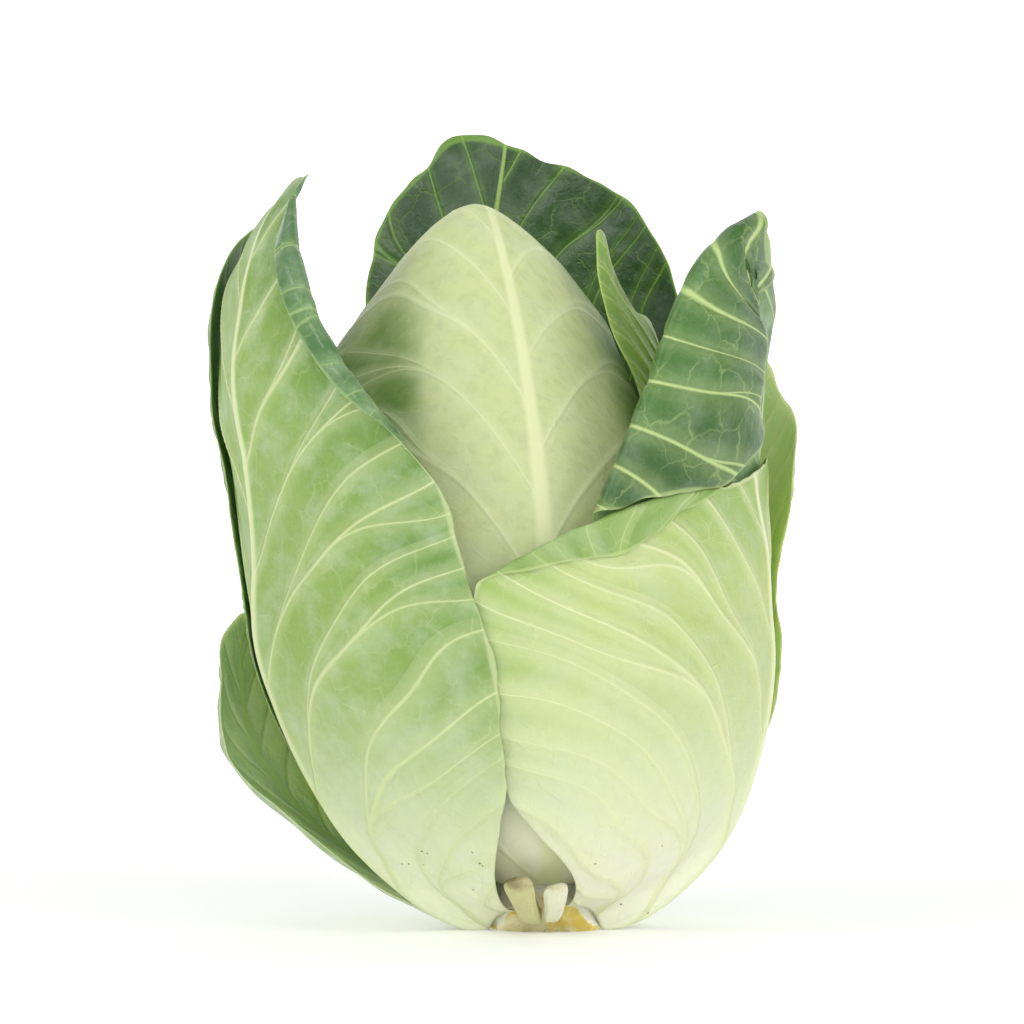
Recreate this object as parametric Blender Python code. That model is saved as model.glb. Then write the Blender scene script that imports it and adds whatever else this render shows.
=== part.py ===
"""Pointed (sweetheart) cabbage head, standing on its cut stump.

The head is an egg-shaped heart on a short stump. Leaves wrap it in layers, each one a step outside
the last, and the outer leaves stand open at the top. Every leaf is drawn flat, as an outline in
millimetres (sideways from its midrib, and along it from the stump), then laid on a surface of
revolution round the leaning axis of the head, folded or rolled at its rim, and given its thickness
and its midrib. +Z is up, the front is -Y, and the origin is the middle of the cut face.
"""

import math
from dataclasses import dataclass

import bmesh
import bpy
import numpy as np

MM = 0.001

# ---- driving dimensions, in millimetres and degrees ----
HEART_RADIUS = 57.0  # widest half-width of the heart
HEART_TIP = 190.0  # height of the heart's tip above the cut face
TIP_STEP = 4.5  # how much higher each closed leaf's tip stands than the one inside it
BULGE_HEIGHT = 85.0  # height at which the head is widest
LEAN = -0.1  # sideways drift of the head's axis for each millimetre of height
DEPTH = 0.88  # the head's depth as a share of its width
STUMP_RADIUS = 16.0
STUMP_BEVEL = 1.5  # how much narrower the flat cut face is than the stump
STUMP_BEVEL_HEIGHT = 1.6
STUMP_TAPER = 0.8  # how much the stump narrows towards the heart
LEAF_THICKNESS = 1.0
LEAF_GAP = 1.1  # clear space between one layer and the next, at the bulge
BASE_GAP = 0.6  # the same, where the leaves leave the stump
FIT_GAP = 0.6  # clear space between the leaves' feet and the stump, and under the heart
FOOT_HEIGHT = 1.3  # height at which the outermost leaf leaves the stump
OUTER_LAYER = 10
TRIM_HEIGHT = 0.15  # the leaf stalks are cut off this far above the cut face
STALK_REACH = 26.0  # distance along a leaf over which its thick stalk thins to its midrib
LOW_POWER = 1.15  # 1 gives a rounded lower half; more gives a more tapered one
TIP_POWERS = (1.35, 0.62)  # how full the head is towards its tip

LAYER_STEP = LEAF_THICKNESS + LEAF_GAP
BASE_STEP = LEAF_THICKNESS + BASE_GAP
STUMP_HEIGHT = FOOT_HEIGHT + OUTER_LAYER * BASE_STEP
OUTLINE_SAMPLES = 240
CREASE_RUN_OUT = 60.0  # how far a crease is drawn on past both its ends
NORMAL_STEP = 0.4  # half the distance over which surface directions are measured
EDGE_CROWDING = 0.45  # how much closer together a leaf's columns are near its sides
HEART_RINGS = 22
HEART_AROUND = 28
HEART_END = 0.992  # share of the way to its very tip at which the heart ends, nearly pointed
STUMP_AROUND = 24
ROUGHNESS = 0.5
PALE, GREEN, DARK = (0.60, 0.70, 0.36), (0.26, 0.42, 0.12), (0.07, 0.17, 0.04)
HEART, CUT = (0.62, 0.70, 0.32), (0.72, 0.66, 0.38)
PROFILE_SAMPLES = 900
CORNERS = (0.36, 0.64)  # where the sides of an outline meet its top, as shares of its length


@dataclass(frozen=True)
class Bump:
    """A soft swelling that lifts part of a leaf away from the head (or towards it, if negative)."""

    side: float
    along: float
    wide: float
    tall: float
    lift: float


@dataclass(frozen=True)
class Roll:
    """A stretch of rim rolled outwards, between two flat points of the outline."""

    start: tuple
    end: tuple
    width: float
    radius: float


@dataclass(frozen=True)
class Fold:
    """A crease, from foot to top, in the flat leaf; what lies to its left turns outwards."""

    crease: tuple
    radius: float


@dataclass(frozen=True)
class Leaf:
    """One leaf, drawn flat and described by how it stands round the head."""

    name: str
    layer: int
    azimuth: float
    outline: tuple
    tip: float = 200.0  # height that a point at the end of the drawn length reaches
    opens: float = 0.0  # how far the upper part stands out from the bulge's radius
    closes: float = 0.0  # how far its very tip comes back in
    opens_power: float = 1.6
    closes_power: float = 4.0
    domed: bool = False  # laid over the head's tip, and not round its side
    rib: tuple = (2.0, 7.0)  # midrib height and half-width, low on the blade
    stalk: float = 0.0  # how much thicker the midrib is where it leaves the stump
    bumps: tuple = ()
    rolls: tuple = ()
    fold: object = None
    thickness: float = LEAF_THICKNESS
    cells: tuple = (14, 16)
    colour: tuple = (0.35, 0.52, 0.16)

    @property
    def radius(self):
        """Half-width of this leaf's own layer at the bulge."""
        return HEART_RADIUS + self.layer * LAYER_STEP

    @property
    def foot(self):
        """Height at which this leaf leaves the stump."""
        return STUMP_HEIGHT - self.layer * BASE_STEP


# ---- surfaces of revolution ----
def lower_profile(radius, foot, turn):
    """(radius, height) from the stump out to the bulge, for turn from 0 to a quarter circle."""
    start = STUMP_RADIUS + FIT_GAP
    out = (radius - start) * np.sin(turn) ** LOW_POWER
    return start + out, foot + (BULGE_HEIGHT - foot) * (1 - np.cos(turn))


def head_profile(radius, foot, tip):
    """(radius, height) of a closed head, from the stump to the tip."""
    low = lower_profile(radius, foot, np.linspace(0, math.pi / 2, PROFILE_SAMPLES))
    share = np.sin(np.linspace(0, math.pi / 2, PROFILE_SAMPLES))[1:]
    full, blunt = TIP_POWERS
    up = radius * (1 - share**full) ** blunt, BULGE_HEIGHT + (tip - BULGE_HEIGHT) * share
    return np.append(low[0], up[0]), np.append(low[1], up[1])


def open_profile(leaf):
    """(radius, height) up the midrib of a leaf that stands open at the top."""
    low = lower_profile(leaf.radius, leaf.foot, np.linspace(0, math.pi / 2, PROFILE_SAMPLES))
    share = np.linspace(0, 1.25, PROFILE_SAMPLES)[1:]
    out = leaf.opens * share**leaf.opens_power - leaf.closes * share**leaf.closes_power
    up = leaf.radius + out, BULGE_HEIGHT + (leaf.tip - BULGE_HEIGHT) * share
    return np.append(low[0], up[0]), np.append(low[1], up[1])


def along_profile(profile, along):
    """(radius, height) at distances along a profile."""
    radius, height = profile
    run = np.append(0, np.cumsum(np.hypot(np.diff(radius), np.diff(height))))
    return np.interp(along, run, radius), np.interp(along, run, height)


def placed(azimuth, radius, height):
    """Points round the leaning axis; azimuth is in radians from the front, towards +X."""
    x = LEAN * height + radius * np.sin(azimuth)
    return np.stack([x, -DEPTH * radius * np.cos(azimuth), height], axis=-1)


def lifted(leaf, side, along):
    """How far each point of a leaf stands off its layer."""
    off = np.zeros(np.broadcast(side, along).shape)
    for bump in leaf.bumps:
        far = ((side - bump.side) / bump.wide) ** 2 + ((along - bump.along) / bump.tall) ** 2
        off = off + bump.lift * np.exp(-far)
    return off


def round_side(leaf, side, along):
    """Lays flat points round the side of the head."""
    radius, height = along_profile(open_profile(leaf), along)
    azimuth = math.radians(leaf.azimuth) + side / leaf.radius
    return placed(azimuth, radius + lifted(leaf, side, along), height)


def over_tip(leaf, side, along):
    """Lays flat points over the head, with the midrib running from the stump across the tip."""
    profile = head_profile(leaf.radius, leaf.foot, HEART_TIP + leaf.layer * TIP_STEP)
    raised = np.arctan2(profile[1] - BULGE_HEIGHT, profile[0])
    length = np.hypot(np.diff(profile[0]), np.diff(profile[1])).sum()
    radius, height = along_profile(profile, length - np.abs(along - length))
    middle = np.arctan2(height - BULGE_HEIGHT, radius)
    middle = np.where(along > length, math.pi - middle, middle)
    turn = side / np.hypot(height - BULGE_HEIGHT, radius)
    front, across, up = np.cos(turn) * np.cos(middle), np.sin(turn), np.cos(turn) * np.sin(middle)
    angle = np.arcsin(np.clip(up, -1, 1))
    radius, height = np.interp(angle, raised, profile[0]), np.interp(angle, raised, profile[1])
    azimuth = math.radians(leaf.azimuth) + np.arctan2(across, front)
    return placed(azimuth, radius + lifted(leaf, side, along), height)


def laid(leaf, side, along):
    """The leaf's middle surface before any fold or roll."""
    return (over_tip if leaf.domed else round_side)(leaf, side, along)


def unit(vectors):
    return vectors / np.linalg.norm(vectors, axis=-1, keepdims=True)


def outward(leaf, side, along, step=NORMAL_STEP):
    """Unit normals of the laid surface, pointing away from the head."""
    across = laid(leaf, side + step, along) - laid(leaf, side - step, along)
    up = laid(leaf, side, along + step) - laid(leaf, side, along - step)
    return unit(np.cross(across, up))


# ---- the flat leaf ----
def smooth_curve(points, samples):
    """An even run of points on a Catmull-Rom curve through the given ones."""
    p = np.array(points, float)
    p = np.vstack([2 * p[0] - p[1], p, 2 * p[-1] - p[-2]])
    t = np.linspace(0, len(points) - 1, samples * 4)
    i = np.minimum(t.astype(int), len(points) - 2)
    f = (t - i)[:, None]
    a, b, c, d = p[i], p[i + 1], p[i + 2], p[i + 3]
    curve = b + 0.5 * f * (c - a + f * (2 * a - 5 * b + 4 * c - d + f * (3 * (b - c) + d - a)))
    run = np.append(0, np.cumsum(np.hypot(*np.diff(curve, axis=0).T)))
    even = np.linspace(0, run[-1], samples)
    return np.stack([np.interp(even, run, curve[:, k]) for k in (0, 1)], axis=1)


def part_of(curve, start, end, shares):
    """Points on a curve at shares of the stretch from start to end."""
    at = (start + (end - start) * shares) * (len(curve) - 1)
    return np.stack([np.interp(at, np.arange(len(curve)), curve[:, k]) for k in (0, 1)], axis=-1)


def left_of(curve):
    """Unit directions to the left of a curve's run."""
    ahead = unit(np.gradient(curve, axis=0))
    return np.stack([-ahead[:, 1], ahead[:, 0]], axis=1)


def across_crease(fold, points):
    """(foot, left, beyond): the crease beside each point, and how far to its left the point lies."""
    ends = np.array(fold.crease, float)
    before = ends[0] + CREASE_RUN_OUT * unit(ends[0] - ends[1])
    after = ends[-1] + CREASE_RUN_OUT * unit(ends[-1] - ends[-2])
    curve = smooth_curve((before, *ends, after), OUTLINE_SAMPLES)
    near = np.linalg.norm(points[..., None, :] - curve, axis=-1).argmin(axis=-1)
    left = left_of(curve)[near]
    beyond = ((points - curve[near]) * left).sum(axis=-1)
    return points - beyond[..., None] * left, left, beyond


def unfolded(points, fold):
    """Flat places of points that are given where they lie once the leaf is folded over."""
    foot, left, beyond = across_crease(fold, np.array(points, float))
    return foot + (math.pi * fold.radius - beyond)[:, None] * left


def edge_weights(count, crowd):
    """Shares from 0 to 1, closer together near both ends by the given amount."""
    even = np.linspace(0, 1, count + 1)
    return even - crowd * np.sin(2 * math.pi * even) / (2 * math.pi)


def flat_grid(leaf):
    """(side, along) of the leaf's grid: rows run up it, and the outline bounds it."""
    columns, rows = leaf.cells
    curve = smooth_curve(leaf.outline, OUTLINE_SAMPLES)
    s, t = edge_weights(columns, EDGE_CROWDING), np.linspace(0, 1, rows + 1)
    low, high = CORNERS
    left, right = part_of(curve, 0, low, t), part_of(curve, 1, high, t)
    bottom, top = part_of(curve[[0, -1]], 0, 1, s), part_of(curve, low, high, s)
    s, t = s[:, None, None], t[None, :, None]
    blend = (1 - t) * bottom[:, None] + t * top[:, None] + (1 - s) * left[None] + s * right[None]
    corners = (1 - s) * ((1 - t) * left[0] + t * left[-1]) + s * ((1 - t) * right[0] + t * right[-1])
    return blend - corners, curve


def turned(leaf, foot, direction, beyond, radius):
    """Points past a crease, carried round a tube on the outside of the leaf and then back over it."""
    normal = outward(leaf, foot[..., 0], foot[..., 1])
    base = laid(leaf, foot[..., 0], foot[..., 1])
    ahead = foot + NORMAL_STEP * direction
    onward = unit(laid(leaf, ahead[..., 0], ahead[..., 1]) - base)
    angle = np.minimum(beyond / radius, math.pi)[..., None]
    around = base + radius * (onward * np.sin(angle) + normal * (1 - np.cos(angle)))
    back = foot - direction * np.clip(beyond - math.pi * radius, 0, None)[..., None]
    over = laid(leaf, back[..., 0], back[..., 1])
    over = over + 2 * radius * outward(leaf, back[..., 0], back[..., 1])
    return np.where(angle < math.pi, around, over)


def middle_surface(leaf):
    """(points, side, along) of the leaf's middle surface with its fold and rolls."""
    flat, curve = flat_grid(leaf)
    side, along = flat[..., 0], flat[..., 1]
    points = laid(leaf, side, along)
    if leaf.fold:
        foot, left, beyond = across_crease(leaf.fold, flat)
        over = turned(leaf, foot, left, np.clip(beyond, 0, None), leaf.fold.radius)
        points = np.where(beyond[..., None] > 0, over, points)
    if leaf.rolls:
        out = left_of(curve)
        gap = np.linalg.norm(flat[:, :, None] - curve[None, None], axis=-1)
        near, inside = gap.argmin(axis=-1), gap.min(axis=-1)
        for roll in leaf.rolls:
            start, end = (np.linalg.norm(curve - p, axis=1).argmin() for p in (roll.start, roll.end))
            window = np.clip((near - start) / (end - start), 0, 1)
            width = roll.width * np.sin(math.pi * window) ** 0.7
            beyond = np.clip(width - inside, 0, None)
            foot = curve[near] - out[near] * width[..., None]
            over = turned(leaf, foot, out[near], beyond, roll.radius)
            points = np.where(beyond[..., None] > 0, over, points)
    return points, side, along


def rib_height(leaf, side, along):
    """How far the midrib stands out of the leaf's outer face."""
    tall, half_width = leaf.rib
    left = np.clip(1 - along / max(p[1] for p in leaf.outline), 0, 1)
    height = tall * left**0.8 + leaf.stalk * np.exp(-((along / STALK_REACH) ** 2))
    real_side = side * along_profile(open_profile(leaf), along)[0] / leaf.radius
    return height * np.exp(-((real_side / (half_width * (0.25 + 0.75 * left))) ** 2))


def leaf_shell(leaf):
    """Vertices and faces of the closed leaf: its outer face, its inner face and the rim between."""
    points, side, along = middle_surface(leaf)
    normal = unit(np.cross(np.gradient(points, axis=0), np.gradient(points, axis=1)))
    outer = points + normal * (leaf.thickness / 2 + rib_height(leaf, side, along))[..., None]
    outer[..., 2] = np.maximum(outer[..., 2], TRIM_HEIGHT)
    inner = points - normal * (leaf.thickness / 2)
    columns, rows = points.shape[0], points.shape[1]
    index = np.arange(columns * rows).reshape(columns, rows)
    faces = []
    for i in range(columns - 1):
        for j in range(rows - 1):
            ring = [index[i, j], index[i + 1, j], index[i + 1, j + 1], index[i, j + 1]]
            faces.append([int(k) for k in ring])
            faces.append([int(k) + columns * rows for k in reversed(ring)])
    rim = list(index[:, 0]) + list(index[-1, 1:]) + list(index[-2::-1, -1]) + list(index[0, -2:0:-1])
    for k, here in enumerate(rim):
        onward = rim[(k + 1) % len(rim)]
        faces.append([int(i) for i in (onward, here, here + columns * rows, onward + columns * rows)])
    return np.vstack([outer.reshape(-1, 3), inner.reshape(-1, 3)]), faces


# ---- objects ----
def material_for(name, colour):
    material = bpy.data.materials.new(name)
    material.use_nodes = True
    shader = material.node_tree.nodes["Principled BSDF"]
    shader.inputs["Base Color"].default_value = (*colour, 1)
    shader.inputs["Roughness"].default_value = ROUGHNESS
    shader.inputs["Metallic"].default_value = 0
    return material


def add_object(name, points, faces, colour):
    """A named solid from points in millimetres."""
    mesh = bpy.data.meshes.new(name)
    mesh.from_pydata([tuple(p) for p in np.asarray(points) * MM], [], faces)
    tidy = bmesh.new()
    tidy.from_mesh(mesh)
    bmesh.ops.recalc_face_normals(tidy, faces=tidy.faces)
    tidy.to_mesh(mesh)
    tidy.free()
    mesh.shade_smooth()
    mesh.materials.append(material_for(name, colour))
    thing = bpy.data.objects.new(name, mesh)
    bpy.context.scene.collection.objects.link(thing)
    return thing


def turned_solid(name, profile, around, colour):
    """A closed solid lofted through rings of (radius, height), with a flat or pointed end each way."""
    rings = []
    azimuth = np.linspace(0, 2 * math.pi, around, endpoint=False)
    for radius, height in profile:
        rings.append(placed(azimuth, np.full(around, radius), np.full(around, height)))
    faces = [list(range(around))]
    for ring in range(len(rings) - 1):
        for k in range(around):
            a, b = ring * around + k, ring * around + (k + 1) % around
            faces.append([a, b, b + around, a + around])
    faces.append([(len(rings) - 1) * around + k for k in range(around)])
    return add_object(name, np.vstack(rings), faces, colour)


def make_heart():
    """The packed inner leaves, as one solid that stands on the stump."""
    radius, height = head_profile(HEART_RADIUS, STUMP_HEIGHT, HEART_TIP)
    run = np.append(0, np.cumsum(np.hypot(np.diff(radius), np.diff(height))))
    stations = np.linspace(0, HEART_END, HEART_RINGS) * run[-1]
    rings = list(zip(np.interp(stations, run, radius), np.interp(stations, run, height)))
    return turned_solid("heart", rings, HEART_AROUND, HEART)


def make_stump():
    """The cut stem: a flat face to stand on, a bevel, and a side that ends under the heart."""
    rings = (
        (STUMP_RADIUS - STUMP_BEVEL, 0.0),
        (STUMP_RADIUS, STUMP_BEVEL_HEIGHT),
        (STUMP_RADIUS, STUMP_HEIGHT / 2),
        (STUMP_RADIUS - STUMP_TAPER, STUMP_HEIGHT - FIT_GAP),
    )
    return turned_solid("stump", rings, STUMP_AROUND, CUT)


FLAP_FOLD = Fold(
    crease=((-73.6, 128), (-66, 144), (-58.5, 162), (-52.5, 180), (-46, 195), (-38, 204), (-28, 209)), radius=2.6
)
FLAP_EDGE = ((-69, 130.5), (-62, 133.5), (-50, 135.5), (-38, 136), (-26, 143), (-16, 150), (-19, 158), (-20, 168), (-22, 180), (-24, 191),
             (-26, 200), (-28, 206))

LEAVES = (
    Leaf(
        "head_leaf_back", 1, 190, domed=True, rib=(0.2, 8), cells=(12, 14), colour=PALE,
        outline=((-18, 0), (-38, 34), (-60, 74), (-68, 112), (-62, 150), (-40, 182), (0, 196),
                 (40, 182), (62, 150), (68, 112), (60, 74), (38, 34), (18, 0)),
    ),
    Leaf(
        "head_leaf_front", 2, -5, domed=True, rib=(0.4, 8), cells=(16, 22), colour=PALE,
        bumps=(Bump(-62, 190, 26, 40, 9),),
        outline=((-20, 0), (-46, 34), (-72, 74), (-84, 115), (-84, 160), (-70, 200), (-40, 232), (-12, 244),
                 (14, 244), (40, 226), (56, 195), (66, 160), (70, 115), (62, 70), (44, 34), (20, 0)),
    ),
    Leaf(
        "curled_leaf", 3, 91, tip=188, closes=25, closes_power=1.2, rib=(0.3, 6), colour=GREEN,
        outline=((-45, 0), (-46, 50), (-45, 100), (-43, 155), (-46, 174), (-46, 188), (-41, 196), (-34, 202),
                 (-26, 201), (-29, 193), (-31, 186), (-22, 180), (4, 174), (28, 150), (40, 100), (42, 50), (40, 0)),
    ),
    Leaf(
        "back_leaf", 4, 170, tip=219, opens=5, rib=(0.8, 8), stalk=2.0, cells=(14, 16), colour=DARK,
        outline=((-42, 0), (-52, 50), (-62, 105), (-60, 150), (-48, 190), (-33, 212), (-12, 224),
                 (12, 231), (24, 222), (40, 202), (50, 160), (60, 105), (54, 50), (42, 0)),
    ),
    Leaf(
        "folded_leaf", 5, 84, tip=200, opens=20, opens_power=1.8, rib=(0.1, 7), cells=(24, 26), colour=DARK,
        fold=FLAP_FOLD,
        outline=((-48, 0), (-60, 50), (-69, 100), (-72, 117), (-74, 127.5), *unfolded(FLAP_EDGE, FLAP_FOLD), (-27, 211),
                 (-20, 206), (-14, 198), (-8, 188), (0, 178), (16, 164), (34, 142), (42, 100), (46, 50), (44, 0)),
    ),
    Leaf(
        "right_leaf", 6, 76, tip=150, opens=8, rib=(3.0, 6), stalk=4.5, cells=(16, 14), colour=PALE,
        rolls=(Roll((-101, 114), (-27, 139), 13.0, 1.2),),
        outline=((-68, 0), (-76, 24), (-98, 50), (-106, 82), (-103, 108), (-92, 127), (-78, 139), (-62, 144.5),
                 (-46, 145), (-36, 142.5), (-27, 139), (-16, 140), (12, 146), (32, 142), (46, 125), (50, 90),
                 (48, 45), (42, 0)),
    ),
    Leaf(
        "left_leaf", 7, -74, tip=204, opens=8, opens_power=1.3, closes=30, closes_power=5,
        rib=(2.4, 6), stalk=4.0, cells=(16, 18), colour=PALE, rolls=(Roll((8, 233), (77, 141), 12.0, 2.4),),
        outline=((-44, 0), (-50, 50), (-60, 100), (-62, 150), (-46, 200), (-18, 228), (4, 234),
                 (26, 225), (50, 199), (68, 165), (76, 143), (79, 126), (84, 105), (85, 64), (70, 26), (56, 0)),
    ),
    Leaf(
        "left_back_leaf", 8, -137, tip=204, opens=9, opens_power=1.3, closes=31, closes_power=6,
        rib=(2.0, 7), stalk=3.5, colour=DARK,
        outline=((-28, 0), (-44, 50), (-48, 95), (-38, 128), (-16, 152), (4, 171), (14, 188), (22, 205), (31, 216),
                 (42, 217), (56, 201), (62, 172), (61, 148), (58, 100), (42, 50), (20, 0)),
    ),
    Leaf(
        "right_back_leaf", 9, 128, tip=176, opens=18, rib=(2.0, 7), stalk=2.5, colour=DARK,
        outline=((-26, 0), (-25, 50), (-26, 94), (-31, 120), (-41, 135), (-50, 149), (-46, 162), (-22, 174),
                 (0, 191), (28, 186), (48, 150), (52, 100), (42, 50), (28, 0)),
    ),
    Leaf(
        "low_leaf", 10, -106, tip=120, opens=2, rib=(1.2, 6), stalk=1.2, cells=(14, 12), colour=DARK,
        bumps=(Bump(18, 74, 28, 26, 13),),
        outline=((-12, 0), (-36, 40), (-46, 76), (-38, 104), (-14, 114), (6, 112), (20, 98),
                 (27, 80), (26, 66), (30, 56), (26, 38), (18, 18), (12, 0)),
    ),
    Leaf(
        "left_stalk_stub", 7, -9, thickness=2.0, rib=(0, 7), stalk=2.6, cells=(4, 5), colour=PALE,
        outline=((-9, 0), (-8, 14), (-7, 25), (6, 27), (7, 14), (8, 0)),
    ),
    Leaf(
        "right_stalk_stub", 7, 6, thickness=2.0, rib=(0, 7), stalk=2.0, cells=(4, 5), colour=PALE,
        outline=((-8, 0), (-7, 12), (-6, 22), (5, 24), (6, 12), (7, 0)),
    ),
)


def main():
    for thing in list(bpy.data.objects):
        bpy.data.objects.remove(thing)
    make_stump()
    make_heart()
    for leaf in LEAVES:
        add_object(leaf.name, *leaf_shell(leaf), leaf.colour)


main()
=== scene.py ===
"""Pointed cabbage head: fine leaves, stump and finishes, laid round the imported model's frame.

Leaves are drawn flat in millimetres, sideways from the midrib and along it from the stump, and laid
on surfaces of revolution round the leaning axis of the head, as the frame's own solids are. Here each
one also gets its wavy margin, ribs, side veins and puckers, and its two different faces.
"""

import logging
import math
from dataclasses import dataclass, field
from enum import Enum
from typing import Optional

import bpy
import numpy as np
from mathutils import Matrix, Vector


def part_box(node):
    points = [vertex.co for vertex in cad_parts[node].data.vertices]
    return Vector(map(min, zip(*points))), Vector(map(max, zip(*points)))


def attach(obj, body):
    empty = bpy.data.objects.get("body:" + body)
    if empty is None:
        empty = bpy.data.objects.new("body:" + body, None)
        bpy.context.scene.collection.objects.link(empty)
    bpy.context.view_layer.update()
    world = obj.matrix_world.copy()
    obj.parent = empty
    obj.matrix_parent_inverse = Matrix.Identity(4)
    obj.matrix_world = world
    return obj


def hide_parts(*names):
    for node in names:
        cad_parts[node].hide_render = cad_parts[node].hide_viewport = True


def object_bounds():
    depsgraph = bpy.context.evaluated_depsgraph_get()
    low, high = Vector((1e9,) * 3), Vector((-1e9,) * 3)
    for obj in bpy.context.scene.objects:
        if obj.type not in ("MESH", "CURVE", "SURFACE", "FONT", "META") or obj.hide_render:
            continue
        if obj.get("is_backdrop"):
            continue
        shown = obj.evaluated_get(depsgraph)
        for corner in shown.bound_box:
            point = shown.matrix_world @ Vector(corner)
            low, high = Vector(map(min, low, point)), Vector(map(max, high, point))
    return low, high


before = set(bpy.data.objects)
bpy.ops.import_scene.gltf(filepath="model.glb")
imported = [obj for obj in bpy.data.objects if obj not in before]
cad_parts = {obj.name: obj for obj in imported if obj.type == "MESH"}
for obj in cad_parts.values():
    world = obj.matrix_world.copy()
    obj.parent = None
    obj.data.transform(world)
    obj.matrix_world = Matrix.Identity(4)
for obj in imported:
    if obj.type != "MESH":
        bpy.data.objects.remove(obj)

LOG = logging.getLogger("cabbage")
Array = np.ndarray
Point2 = tuple[float, float]
Point3 = tuple[float, float, float]
Colour = tuple[int, int, int]  # red, green and blue as displayed, 0 to 255
Socket = bpy.types.NodeSocket
Material = bpy.types.Material
Mesh = bpy.types.Mesh
Piece = bpy.types.Object

DRAWN_HEIGHT = 218.9  # height of the whole head in the millimetres that the leaves are drawn in

# ---- the head's form, in drawn millimetres, as in the frame ----
BULGE_HEIGHT = 85.0  # every layer is widest here
LEAN = -0.1  # how far sideways the axis runs for each millimetre up
DEPTH = 0.88  # depth of a layer beside its width
LAYER_STEP = 2.1  # how much wider each layer is than the one inside it
BASE_STEP = 1.6  # how much lower each layer leaves the stump
TIP_STEP = 4.5  # how much higher each closed layer's tip stands
FIT_GAP = 0.6  # between the stump and the layers' feet
TRIM_HEIGHT = 0.15  # the leaves' feet are trimmed level here
LOW_POWER = 1.15  # how soon a layer spreads out above its foot
TIP_POWERS = (1.35, 0.62)  # how full and how blunt a closed head is above its bulge
PROFILE_POINTS = 900

# ---- how a leaf is drawn and lies ----
BLADE = 0.7  # thickness of a leaf between its veins
STALK_REACH = 26.0  # distance over which a stalk's own thickness dies out
OUTLINE_POINTS = 520
CORNERS = (0.36, 0.64)  # shares of an outline's length where its grid's two top corners lie
CORNER_CALM = 16.0  # how near those corners the outline's waves die out
CORNER_EASE = 9.0  # how far each way the outline's directions are evened out
EVENING_ROUNDS = 110  # how many times a leaf's grid is evened out
CREASE_RUN_OUT = 60.0  # how far a crease is drawn on past both its ends
NORMAL_STEP = 0.4  # how far apart places are compared for a direction
AGREEMENT = 0.75  # a grid's own normal counts where it agrees at least this well with the surface's
INWARD_SHARE = 0.35  # how much of its waves a leaf keeps where they lead into the leaves inside it
UV_SPAN = 100.0  # drawn millimetres in one unit of a leaf's UV map
FIELDS = ("phase", "rise", "edge")  # side veins' phase, height in the leaf, depth inside its margin (shrunk where painted shadow deepens the green)

# ---- how side veins fork: (step, side step, first start, spread of starts, growth, share of the gap) ----
FORKS = ((0.618034, 0.37, 7.0, 16.0, 38.0, 0.40), (0.754878, 0.57, 20.0, 24.0, 42.0, -0.36))
STRENGTH_STEP = (0.7548777, 0.37)  # from one side vein to the next, and from left to right of the midrib
LOT_SHIFT = 64.0  # keeps the numbers above 0 that the veins' lots are the fractions of
GAP_SHARE = 0.72  # distance across from one side vein to the next, beside that along the midrib
VEIN_TAPER = 95.0  # distance from the midrib over which a side vein thins to nothing


# ======================================================================================
# Small helpers
# ======================================================================================
def unit(vectors: Array) -> Array:
    """Scale vectors to length one."""
    return vectors / np.maximum(np.linalg.norm(vectors, axis=-1, keepdims=True), 1e-12)


def smooth(value: Array, low: float, high: float) -> Array:
    """Ease from 0 at low to 1 at high."""
    share = np.clip((value - low) / (high - low), 0, 1)
    return share * share * (3 - 2 * share)


def linear(colour: Colour) -> tuple[float, ...]:
    """Turn a displayed colour into the linear one, with alpha, that shaders use."""
    shares = [v / 255 for v in colour]
    return (*(v / 12.92 if v < 0.04045 else ((v + 0.055) / 1.055) ** 2.4 for v in shares), 1.0)


def read_off(curve: Array, at: Array, known: Optional[Array] = None) -> Array:
    """Points of a curve at places on it, counted in points, or in the units of known places."""
    known = np.arange(len(curve)) if known is None else known
    return np.stack([np.interp(at, known, column) for column in curve.T], axis=-1)


def grid_normals(points: Array, even: Array) -> Array:
    """Unit normals of a grid of points, or the even surface's own where squashed cells mislead."""
    normal = unit(np.cross(np.gradient(points, axis=0), np.gradient(points, axis=1)))
    agree = (normal * even).sum(axis=-1, keepdims=True)
    return np.where(agree > AGREEMENT, normal, even)


class Ripple:
    """Smooth random relief, as a sum of seeded plane waves of about one length."""

    def __init__(self, seed: int, wavelength: float, waves: int = 22) -> None:
        """Draw the waves.

        Args:
            seed: Fixes the relief.
            wavelength: Middle wavelength, in the units of the points it is read at.
            waves: How many waves are summed.
        """
        rng = np.random.default_rng(seed)
        angle = rng.uniform(0, 2 * math.pi, waves)
        number = 2 * math.pi / (wavelength * rng.uniform(0.65, 1.6, waves))
        self.across = number * np.cos(angle)
        self.up = number * np.sin(angle)
        self.phase = rng.uniform(0, 2 * math.pi, waves)
        self.scale = math.sqrt(2 / waves)

    def __call__(self, across: Array, up: Array) -> Array:
        """Read the relief, mostly between -1 and 1, at flat places."""
        total = np.zeros(np.broadcast(across, up).shape)
        for a, b, start in zip(self.across, self.up, self.phase):
            total += np.cos(a * across + b * up + start)
        return total * self.scale


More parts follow.
